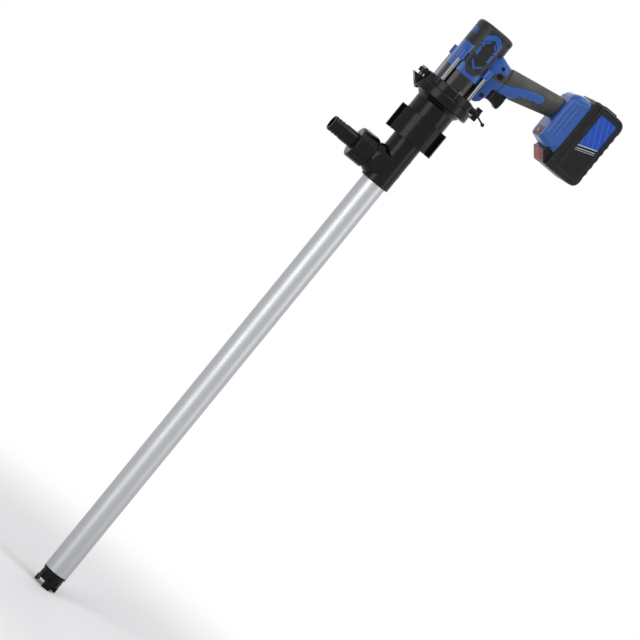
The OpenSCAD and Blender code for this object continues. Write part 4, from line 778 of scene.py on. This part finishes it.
# %% Tongue
TONGUE_TOP = ([53, 60, 72, 84, 94, 104], [-2.4, -1.9, 1.7, 4.7, 6.6, 6.8])
TONGUE_LOW = ([53, 68, 76, 82, 104], [-26, -26, -17.5, -11.5, -8.4])
TONGUE_MIDDLE = -0.4
TONGUE_ROUND = 104.5
TONGUE_TIP = 8.0
NOTCH_DEPTH = 2.6
NOTCH_PITCH = 9
NOTCHES = (80, 106)
OUTSIDE = -3.0


def tongue_mask(x, drop):
    """The lesser distance to the upper and the notched lower line, both drawn to the middle by a
    quarter circle past TONGUE_ROUND; drop is the height over the handle's middle line."""
    start, end = NOTCHES
    bites = np.abs(np.sin((x - start + 1.5) * math.pi / NOTCH_PITCH)) * np.clip((x - start) / 3, 0, 1)
    top = np.interp(x, *TONGUE_TOP)
    low = np.interp(x, *TONGUE_LOW) + NOTCH_DEPTH * bites * (x < end)
    past = np.clip(x - TONGUE_ROUND, 0, None) / TONGUE_TIP
    lift = np.sqrt(np.clip(1 - past**2, 0, 1))
    above = TONGUE_MIDDLE + (top - TONGUE_MIDDLE) * lift
    below = TONGUE_MIDDLE + (low - TONGUE_MIDDLE) * lift
    edge = np.minimum(above - drop, drop - below)
    return np.where(x > TONGUE_ROUND + TONGUE_TIP + 0.1, OUTSIDE, edge)


print("half way the tongue's field is", round(float(tongue_mask(90.0, 0.0)), 1))

# %% [markdown]
# ## The grip sleeve
# Soft rubber wraps the handle. It could be the handle's own shape made thicker, but it needs a
# groove round the tongue and ribs under the palm, so it is one oval tube on a fine grid. The grid
# tapers along the handle, and each pattern simply adds to its radius.


# %% Grip sleeve
GRIP_X = (53.1, 137.6)
SLEEVE_WALL = 0.9
PROUD = 0.35
GROOVE_DEPTH = 0.5
GROOVE_HALF = 0.45
RIB_HEIGHT = 0.22
RIB_PITCH = 3.4


def grip_sleeve(rows=230, cols=260):
    """Ovals across the handle: radius plus the rubber's rise, less exp(-(field / half groove)^2),
    plus ribs by a cosine of x on the back of the handle; then two inner rings close the wall."""
    x = np.linspace(*GRIP_X, rows)[:, None]
    turn = np.linspace(0, 2 * math.pi, cols, endpoint=False)[None, :]
    half_tall = (HANDLE_TALL[0] + (HANDLE_TALL[1] - HANDLE_TALL[0]) * along_handle(x)) / 2 + RUBBER
    half_wide = HANDLE_WIDE / 2 + RUBBER
    share = (x - GRIP_X[0]) / (GRIP_X[1] - GRIP_X[0])
    lip = np.clip(np.minimum(share, 1 - share) / 0.016, 0, 1)
    field = np.broadcast_to(tongue_mask(x, np.sin(turn) * half_tall), (rows, cols))
    proud = PROUD * np.sqrt(1 - (1 - lip) ** 2) * np.clip(1 - field, 0.2, 1)
    groove = GROOVE_DEPTH * np.exp(-((field / GROOVE_HALF) ** 2))
    where = (np.sin(turn) > 0.55) * (field < -1) * (share > 0.06) * (share < 0.94)
    ribs = RIB_HEIGHT * (0.5 + 0.5 * np.cos(x * 2 * math.pi / RIB_PITCH)) * where

    def ring(grow):
        """One oval for each row, with both its half axes longer by grow."""
        y = np.cos(turn) * (half_wide + grow)
        z = handle_axis(x) + np.sin(turn) * (half_tall + grow)
        return np.stack([x + 0 * y, y, z], -1)

    inner = ring(np.full((rows, 1), -SLEEVE_WALL))[[-1, 0]]
    grid = np.concatenate([ring(proud - groove + ribs), inner])
    return grid, np.concatenate([field, np.full((2, cols), OUTSIDE)])


def grip_finish():
    """Olive-grey rubber with fine beads; where the tongue's field is positive, blue nylon.
    Painted shade darkens the groove at the tongue's border almost to black.
    """
    f = Finish("grip_two_shot")
    field = f.node("Attribute", {"attribute_name": "tongue"}, {}, "Fac")
    blue = f.edge(field, -0.1, 0.1)
    bead = f.cells(1.1)
    dusty = f.edge(f.noise(26, 4.0), 0.4, 0.75)
    soft = f.mix(dusty * 0.5 + f.edge(bead, 0.3, 0.8) * 0.3, srgb(34, 35, 33), srgb(80, 80, 70))
    hard = f.mix(f.noise(40, 3.0) * 0.4, COBALT, COBALT_DEEP)
    # painted shade: the colour goes almost black along the groove at the tongue's border
    dark = 1 - f.edge(abs(field), 0.1, 0.55)
    tone = f.mix(dark * 0.8, f.mix(blue, soft, hard), srgb(10, 10, 12))
    rough = 0.64 - blue * 0.3 + f.uneven(6, 0.16, 3.0)
    normal = f.bump((1 - bead) * (1 - blue) + f.noise(0.8) * blue * 0.2, 0.05, f.rounded(0.4))
    return f.done(tone, rough, normal)


sleeve, tongue = grip_sleeve()
grip = skin("grip_sleeve_skin", sleeve, "pump", grip_finish(), False, 50, {"tongue": tongue})
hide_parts("grip_sleeve")

# %% [markdown]
# ## The blue foot's section
# The handle swells into a block that the battery slides on. Its top is a smooth dome, and upright
# ridges on its flanks stiffen the shell. A superellipse gives soft corners that no row of straight
# sides would, and its width and height change along x.


# %% Foot section
FOOT_START = 138
FOOT_RUN = 29
FOOT_HALF = 25.2
FOOT_SWELL = 9.8
FOOT_LOW = 553.4
FOOT_DROP = 9.0
FOOT_SHOULDER = 622
FOOT_CROWN = 15.8
CROWN_X = 157
CROWN_RUN = 20.2
RIDGES = ((147.5, 0.7), (153.2, 0.9), (159, 0.7))
RIDGE_LEVEL = 594
RIDGE_HALF = 33
RIDGE_PRESS = 0.022


def foot_section(x, turn):
    """Width and height of a soft-cornered box at x: y = half |cos t|^0.36 and z from |sin t|^0.4,
    with the width pressed in by a bell exp(-((x - place) / width)^2) at each ridge."""
    share = np.clip((x - FOOT_START) / FOOT_RUN, 0, 1)
    half = FOOT_HALF + FOOT_SWELL * share**0.75
    low = FOOT_LOW - FOOT_DROP * share
    crown = np.sqrt(np.clip(1 - ((np.minimum(x, CROWN_X) - CROWN_X) / CROWN_RUN) ** 2, 0, 1))
    high = FOOT_SHOULDER + FOOT_CROWN * crown
    cos, sin = np.cos(turn), np.sin(turn)
    y = half * np.sign(cos) * np.abs(cos) ** 0.36
    z = (low + high) / 2 + (high - low) / 2 * np.sign(sin) * np.abs(sin) ** 0.4
    flank = np.abs(cos) ** 2 * (np.abs(z - RIDGE_LEVEL) < RIDGE_HALF)
    ridge = sum(np.exp(-(((x - place) / width) ** 2)) for place, width in RIDGES)
    return y * (1 - RIDGE_PRESS * ridge * flank), z


print("the foot's top is", FOOT_SHOULDER + FOOT_CROWN, "mm high")

# %% [markdown]
# ## The blue foot
# The front part is a closed cap laid over the solid, with a rounded front edge. The rear part is a
# saddle, a bent strip with a thin closed section, which leaves the battery's slot open below. One
# closed block would fill that slot.


# %% Foot
FOOT_FRONT = 137.9
FOOT_SPLIT = 155.2
FOOT_BACK = 167.1
FOOT_MIDDLE = 590.0
FOOT_EDGE = 4.5
FOOT_WALL = 0.6


def foot_nose(cols=200):
    """Front face, round-over and flanks up to the slot, then back inside as a thin wall."""
    turn = np.linspace(0, 2 * math.pi, cols, endpoint=False)[None, :]
    bend = np.linspace(0, math.pi / 2, 9)[:, None]
    along = np.linspace(FOOT_FRONT + FOOT_EDGE + 0.4, FOOT_SPLIT, 36)[:, None]
    x = np.concatenate([FOOT_FRONT + FOOT_EDGE * (1 - np.cos(bend)), along])
    y, z = foot_section(x, turn)
    pull = np.concatenate([1 - 0.14 * (1 - np.sin(bend)), np.ones((len(along), 1))])
    z = FOOT_MIDDLE + (z - FOOT_MIDDLE) * (1 - (1 - pull) * 0.6)
    outer = np.stack([x + 0 * y, y * pull, z], -1)
    inner = outer[::-1] * [1, 0.97, 1] + [0.5, 0, 0]
    inner[:, :, 2] = FOOT_MIDDLE + (outer[::-1, :, 2] - FOOT_MIDDLE) * 0.98
    front, back = (np.tile([FOOT_FRONT + wall, 0, FOOT_MIDDLE], (1, cols, 1)) for wall in (0, FOOT_WALL))
    return np.concatenate([front, outer, inner, back])


def foot_saddle(cols=150):
    """The same section from flank to flank over the top, its ring closed by a thinner copy inside."""
    turn = np.linspace(math.radians(-52), math.radians(232), cols)[None, :]
    x = np.linspace(FOOT_SPLIT, FOOT_BACK, 30)[:, None]
    y, z = foot_section(x, turn)
    outer = np.stack([x + 0 * y, y, z], -1)
    inner = outer[::-1] * [1, 0.982, 1]
    inner[:, :, 2] = FOOT_MIDDLE + (outer[::-1, :, 2] - FOOT_MIDDLE) * 0.985
    ring = np.concatenate([outer, inner]).transpose(1, 0, 2)
    ends = [np.broadcast_to(ring[i].mean(0), (1, ring.shape[1], 3)) for i in (0, -1)]
    return np.concatenate([ends[0], ring, ends[1]])


for name, grid in (("foot_nose_skin", foot_nose()), ("foot_saddle_skin", foot_saddle())):
    skin(name, grid, "pump", finishes["blue_plastic"], sharp=40)

# %% [markdown]
# ## The battery's label
# Each flank of the charcoal case has a sunk label. It is a print: a plain cobalt field above a
# black one, parted by pale slanting stripes, with thin diagonals on the blue. All of it is a few
# bands, so it stays sharp at any distance.


# %% Pack finish
LABEL_X = (184.6, 215.4)
LABEL_Y = 34.4
LABEL_Z = (538, 634)
LABEL_RIM = 1.8
LABEL_SLANT = 0.35
LABEL_SPLIT = 514
DIAGONAL_PITCH = 9
LABEL_STRIPES = ((0, 1.3), (-4.6, -3.6), (-7.4, -6.8))


def label_box(f, inset):
    """1 inside the label's rectangle made smaller by inset on every side."""
    (x0, x1), (z0, z1) = LABEL_X, LABEL_Z
    return f.band(f.x, x0 + inset, x1 - inset, 0.3) * f.band(f.z, z0 + inset, z1 - inset, 0.3)


def pack_finish():
    """Charcoal nylon; inside the label's lines the print covers it."""
    f = Finish("pack_case")
    field = label_box(f, 0) * f.edge(abs(f.y), LABEL_Y, LABEL_Y + 0.4)
    rim = 1 - label_box(f, LABEL_RIM)
    split = f.z - f.x * LABEL_SLANT - LABEL_SPLIT
    upper = f.edge(split, 0.5, 1.1)
    stripes = [f.band(split, low, high, 0.15) for low, high in LABEL_STRIPES]
    diagonal = (f.x + f.z * 0.5) % DIAGONAL_PITCH - DIAGONAL_PITCH / 2
    thin = f.band(abs(diagonal), -1, 0.35, 0.15) * upper
    cloud = f.noise(30, 3.0)
    ink = f.mix(upper, srgb(14, 15, 18), f.mix(cloud * 0.5, srgb(36, 78, 174), srgb(24, 56, 140)))
    ink = f.mix(thin * 0.35, ink, srgb(110, 146, 222))
    ink = f.mix(sum(stripes[1:], stripes[0]).lower(1.0), ink, srgb(176, 182, 192))
    ink = f.mix(rim * 0.8, ink, srgb(20, 21, 24))
    base = f.mix(cloud * 0.4, srgb(25, 26, 26), srgb(17, 18, 18))
    tone = f.mix(f.rubbed() * 0.5, f.mix(field, base, ink), srgb(104, 105, 106))
    rough = 0.46 - field * 0.12 + f.uneven(14, 0.16)
    normal = f.bump(f.noise(0.8) * (1 - field), 0.006, f.rounded(0.5))
    return f.done(tone, rough, normal, Specular_IOR_Level=0.24)


pack_print = pack_finish()
print("stripes on the label:", len(LABEL_STRIPES))

# %% [markdown]
# ## The battery case
# The case is scalloped for the fingers on its outer edge, and each flank has a raised frame with
# two grooves round the label. Its outline is drawn from the side, with the scallops as a wave, and
# is swept across the width: label, frame, grooves, round-over, belly, and the same back again.


# %% Battery case
CASE_POINTS = 420
CASE_TOP = 644.2
CASE_CORNERS = [0.6, 13, 15, 0.6]
FRAME_X = (184.2, 215.8)
FRAME_Z = (537.6, 634.4)
FRAME_CORNERS = [2.5, 8, 8, 5]
SCALLOP_DEPTH = 1.0
SCALLOP_PITCH = 12
SCALLOP_MIDDLE = 585
SCALLOP_HALF = 42


def case_outline(low, high):
    """The case from the side: its back edge moved in by half a cosine wave between two heights."""
    back = high[0] - 0.1
    bottom = low[2] + 0.1
    corners = [(low[0], bottom), (back, bottom), (back, CASE_TOP), (low[0], CASE_TOP)]
    outline = rounded(corners, CASE_CORNERS, CASE_POINTS)
    x, z = outline.T
    wavy = (x > high[0] - 1.2) & (np.abs(z - SCALLOP_MIDDLE) < SCALLOP_HALF)
    wave = 0.5 - 0.5 * np.cos((z - SCALLOP_MIDDLE + SCALLOP_HALF) * 2 * math.pi / SCALLOP_PITCH)
    return np.column_stack([x - np.where(wavy, SCALLOP_DEPTH * wave, 0), z])


def pack_case():
    """The outline swept from one flank to the other; h is the distance from the middle plane."""
    low, high = corners_of("battery_case")
    half = high[1]
    (x0, x1), (z0, z1) = FRAME_X, FRAME_Z
    inner = rounded([(x0, z0), (x1, z0), (x1, z1), (x0, z1)], FRAME_CORNERS, CASE_POINTS)
    label = [(0, 1, half - 1.4), (0.3, 0.7, half - 1.4), (0.8, 0.2, half - 1.4), (1, 0, half - 1.4)]
    frame_in = [(0.985, 0, half - 0.3), (0.93, 0, half - 0.05), (0.74, 0, half)]
    grooves = [(0.7, 0, half - 0.7), (0.63, 0, half - 0.7), (0.59, 0, half), (0.46, 0, half)]
    grooves += [(0.42, 0, half - 0.6), (0.36, 0, half - 0.6), (0.32, 0, half - 0.1)]
    belly = [(0, 0, 26), (0.08, 0, 25.2), (0.08, 0, 23.4), (0, 0, 22.6), (0, 0, 8)]
    side = label + frame_in + grooves + round_over(0.27, half - 0.1, half - 4.2) + belly
    return sweep(case_outline(low, high), inner, mirrored(side))[:, :, [0, 2, 1]]


case = skin("battery_case_shell", pack_case(), "battery", pack_print, sharp=30)
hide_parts("battery_case")

# %% [markdown]
# ## Two bars on the battery
# On top of the case stand two low bars with soft edges and a sunk middle, one to each side. They
# are the same short sweep as the rest, drawn from above and mirrored.


# %% Battery bars
BAR_X = (185, 208)
BAR_Y = (10.9, 25.9)
BAR_MARGIN = 4
BAR_POINTS = 96
BAR_FOOT = 643.4
BAR_EDGE = 645.2
BAR_TOP = 646.75
BAR_SUNK = 646.4


def pack_bar(side):
    """A rounded rectangle from its foot up over a quarter round, then down into a sunk middle."""
    (x0, x1), (y0, y1) = BAR_X, BAR_Y
    corners = np.array([(x0, y0), (x1, y0), (x1, y1), (x0, y1)])
    inward = np.array([(1, 1), (-1, 1), (-1, -1), (1, -1)])
    outer = rounded(corners, [2, 4, 4, 2], BAR_POINTS)
    inner = rounded(corners + inward * BAR_MARGIN, 1.5, BAR_POINTS)
    steps = [(0, 1, BAR_FOOT), (0, 0, BAR_FOOT)] + round_over(0.4, BAR_TOP, BAR_EDGE)[::-1]
    steps += [(0.6, 0, BAR_TOP), (0.7, 0, BAR_SUNK), (1, 0, BAR_SUNK), (0, 1, BAR_SUNK)]
    return sweep(outer, inner, steps) * [1, side, 1]


for name, side in (("left", -1), ("right", 1)):
    skin(f"battery_bar_{name}", pack_bar(side), "battery", pack_print)

# %% [markdown]
# ## The trigger
# One finger pulls it. Its front is a shallow hollow between two lips and its edges are well
# rounded, so it is a soft outline swept across its width. The outline's corners are shares of the
# solid's own box, so that the blade fills it exactly.


# %% Trigger
BLADE_SHARES = [(0, 1), (0, 0.13), (0.13, 0.17), (0.42, 0.16), (0.62, 0.1), (0.82, 0)]
BLADE_SHARES += [(0.95, 0.1), (1, 0.55), (0.97, 1)]
BLADE_CORNERS = [0.5, 2, 1.4, 2.4, 2.4, 1.8, 2.2, 4, 0.5]


def trigger_blade():
    """Outline of the blade from the side, swept across its width with rounded edges."""
    low, high = corners_of("trigger")
    size = high - low
    corners = [(low[0] + size[0] * x, low[2] + size[2] * z) for x, z in BLADE_SHARES]
    outer = rounded(corners, BLADE_CORNERS, 150)
    inner = (outer - outer.mean(0)) * 0.62 + outer.mean(0)
    half = high[1]
    side = [(0, 1, half - 0.5), (1, 0, half - 0.5), (0.86, 0, half - 0.05), (0.7, 0, half)]
    side += round_over(0.55, half, half - 3.4)
    return sweep(outer, inner, mirrored(side))[:, :, [0, 2, 1]]


blade = skin("trigger_blade", trigger_blade(), "trigger", finishes["black_plastic"])
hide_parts("trigger")

# %% [markdown]
# ## The outlet nut
# A round nut holds the hose tail and is turned by hand. Eight flutes give the fingers a grip, and
# its outer rim is well rounded, so a bright line runs round it. One profile is turned round the
# outlet's axis, and each of its rows says how much of the flutes it takes.


# %% Outlet nut
OUTLET_Z = 384.5
FLUTES = 8
FLUTE_START = math.radians(-7)
FLUTE_HALF = 0.1
FLUTE_DEPTH = 1.6
NUT_RIM = 3.2
NUT_SEAT = 21.1
NUT_HOLE = 12.9
TAIL_FLANGE = 3.8


def turned(rows, cols=288):
    """Rows (x, radius, share) turned round the outlet: radius less depth times share times a bell
    exp(-(angle from the nearest flute / half width)^4)."""
    x, radius, share = np.array(rows, float).T[:, :, None]
    turn = np.linspace(0, 2 * math.pi, cols, endpoint=False)[None, :]
    pitch = 2 * math.pi / FLUTES
    off = (turn - FLUTE_START + pitch / 2) % pitch - pitch / 2
    reach = radius - FLUTE_DEPTH * share * np.exp(-((off / FLUTE_HALF) ** 4))
    return np.stack([x + 0 * reach, -np.cos(turn) * reach, OUTLET_Z + np.sin(turn) * reach], -1)


def outlet_nut():
    """Rounded rim, fluted wall and open inside: a seat for the tail's flange, then its clear hole."""
    low, high = corners_of("outlet_wing_nut")
    end, root, outer = low[0], high[0], high[1]
    flange = corners_of("hose_tail")[1][0] - TAIL_FLANGE
    wall = end + NUT_RIM
    bend = np.linspace(0, math.pi / 2, 8)
    rows = [(end + 0.4, NUT_HOLE, 0), (end, NUT_HOLE + 0.4, 0)]
    rows += [(end + NUT_RIM * (1 - math.cos(t)), outer - NUT_RIM * (1 - math.sin(t)), 0) for t in bend]
    rows += [(wall + 0.6, outer, 0), (wall + 1.0, outer, 0.5), (wall + 1.5, outer, 1)]
    rows += [(x, outer, 1) for x in np.linspace(wall + 3, root - 4.4, 12)]
    rows += [(root - 3.0, outer, 1), (root - 2.5, outer, 0.5), (root - 2.1, outer, 0)]
    rows += [(root - 0.9, outer, 0), (root - 0.25, outer - 0.3, 0), (root, outer - 0.9, 0)]
    rows += [(root, NUT_SEAT + 0.3, 0), (root - 0.3, NUT_SEAT, 0)]
    rows += [(flange, NUT_SEAT, 0), (flange, NUT_HOLE, 0)]
    return turned(rows)


nut = skin("outlet_nut_skin", outlet_nut(), "outlet_nut", finishes["black_plastic"], False)
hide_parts("outlet_wing_nut")

# %% [markdown]
# ## Ribs in the strainer
# The foot keeps coarse dirt out of the pump. Behind each of its windows stand fine upright ribs,
# too close to see through. Single bars would be dozens of tiny pieces, so they are one thin ring
# whose outer face is waved.


# %% Strainer ribs
RIBS = 54
RIB_RISE = (10.6, 19.0)
RING_INNER = 15.3
RING_OUTER = 16.3
RING_WAVE = 0.3


def strainer_ribs(cols=432):
    """A closed ring in the strainer's wall; its outer radius is RING_OUTER + wave cos(ribs t)."""
    low = corners_of("foot_strainer")[0][2]
    bottom, top = (low + rise for rise in RIB_RISE)
    rows = [(RING_INNER, 0, bottom), (RING_OUTER - RING_WAVE, 0, bottom), (0, 1, bottom + 0.3)]
    rows += [(0, 1, z) for z in np.linspace(bottom + 1, top - 1, 6)]
    rows += [(0, 1, top - 0.3), (RING_OUTER - RING_WAVE, 0, top), (RING_INNER, 0, top)]
    plain, share, z = np.array(rows, float).T[:, :, None]
    turn = np.linspace(0, 2 * math.pi, cols, endpoint=False)[None, :]
    reach = plain + share * (RING_OUTER + RING_WAVE * np.cos(RIBS * turn))
    return np.stack([np.cos(turn) * reach, np.sin(turn) * reach, z + 0 * reach], -1)


skin("strainer_ribs", strainer_ribs(), "pump", finishes["black_plastic"], False)

# %% [markdown]
# ## The floor
# The pump stands on a pale floor that shows its shadow. Farther out the eye should see plain white.
# More light would also wash out the pump, so the floor's own finish turns to plain white there, and
# only for what the eye, a mirror or glass sees.


# %% Floor
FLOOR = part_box("foot_strainer")[0].z
FLOOR_HALF = 40
PALE_UNTIL = 260
WHITE_FROM = 900


def make_floor(half):
    """A square sheet below the foot, its corners half a side from the pump's axis along x and y."""
    mesh = bpy.data.meshes.new("floor")
    corner = np.array([[-1, -1], [1, -1], [1, 1], [-1, 1]]) * half
    mesh.from_pydata(np.column_stack([corner, np.full(4, FLOOR)]).tolist(), [], [(0, 1, 2, 3)])
    floor = bpy.data.objects.new("floor", mesh)
    bpy.context.scene.collection.objects.link(floor)
    return floor


def floor_finish():
    """Pale and matt near the pump, and plain white for the eye and for gloss far from it."""
    f = Finish("pale_floor")
    away = f.edge((f.x * f.x + f.y * f.y) ** 0.5, PALE_UNTIL, WHITE_FROM)
    matt = f.node("BsdfDiffuse", {}, {"Color": srgb(236, 236, 238)})
    white = f.node("Emission", {}, {"Color": (1, 1, 1, 1), "Strength": 1.0})
    shown = f.node("MixShader", {}, {0: away * f.seen(), 1: matt, 2: white})
    f.node("OutputMaterial", {}, {"Surface": shown})
    return f.material


make_floor(FLOOR_HALF).data.materials.append(floor_finish())
print("floor at", round(FLOOR, 4))

# %% [markdown]
# ## Light
# Four big soft lamps and an even world light the pump at a plain level, so that colours come out as
# they are written. The world is plain white where it is seen directly, and dimmer as a light. The
# lamp at the left is the strongest, so the round parts turn from light to dark.


# %% World and lamps
WORLD_LEVEL = 0.42
LAMPS = [
    ("left_sheet", (-1.7, -1.7, 0.7), 1.2, 2.8, 32),
    ("right_sheet", (2.0, -1.2, 0.9), 0.9, 2.6, 13),
    ("over", (0.3, -0.6, 2.6), 1.4, 1.4, 20),
    ("behind", (0.8, 2.2, 1.2), 1.6, 2.0, 18),
]


def studio_world(level):
    """An even world of that level, and plain white for what is seen directly."""
    world = bpy.data.worlds.new("studio")
    bpy.context.scene.world = world
    world.use_nodes = True
    recipe = Recipe(world.node_tree)
    strength = level + recipe.seen() * (1 - level)
    light = recipe.node("Background", {}, {"Color": (1, 1, 1, 1), "Strength": strength})
    recipe.node("OutputWorld", {}, {"Surface": light})


def soft_lamp(name, place, wide, tall, power):
    """A rectangular lamp at a place, turned to the middle of the pump."""
    lamp = bpy.data.objects.new(name, bpy.data.lights.new(name, "AREA"))
    bpy.context.scene.collection.objects.link(lamp)
    lamp.data.shape = "RECTANGLE"
    lamp.data.size = wide
    lamp.data.size_y = tall
    lamp.data.energy = power
    middle = (cad_lo + cad_hi) / 2
    turn = (Vector(place) - middle).to_track_quat("Z", "Y").to_matrix().to_4x4()
    lamp.matrix_world = Matrix.Translation(place) @ turn


studio_world(WORLD_LEVEL)
for lamp in LAMPS:
    soft_lamp(*lamp)
print("lamps:", len(LAMPS), "watts together:", sum(lamp[-1] for lamp in LAMPS))

# %% [markdown]
# ## The view transform
# The render's view transform is Standard, so that colours come out as they are written. The
# finished model has to stay within the solids' own box.

# %% View transform and the end
bpy.context.scene.view_settings.view_transform = "Standard"
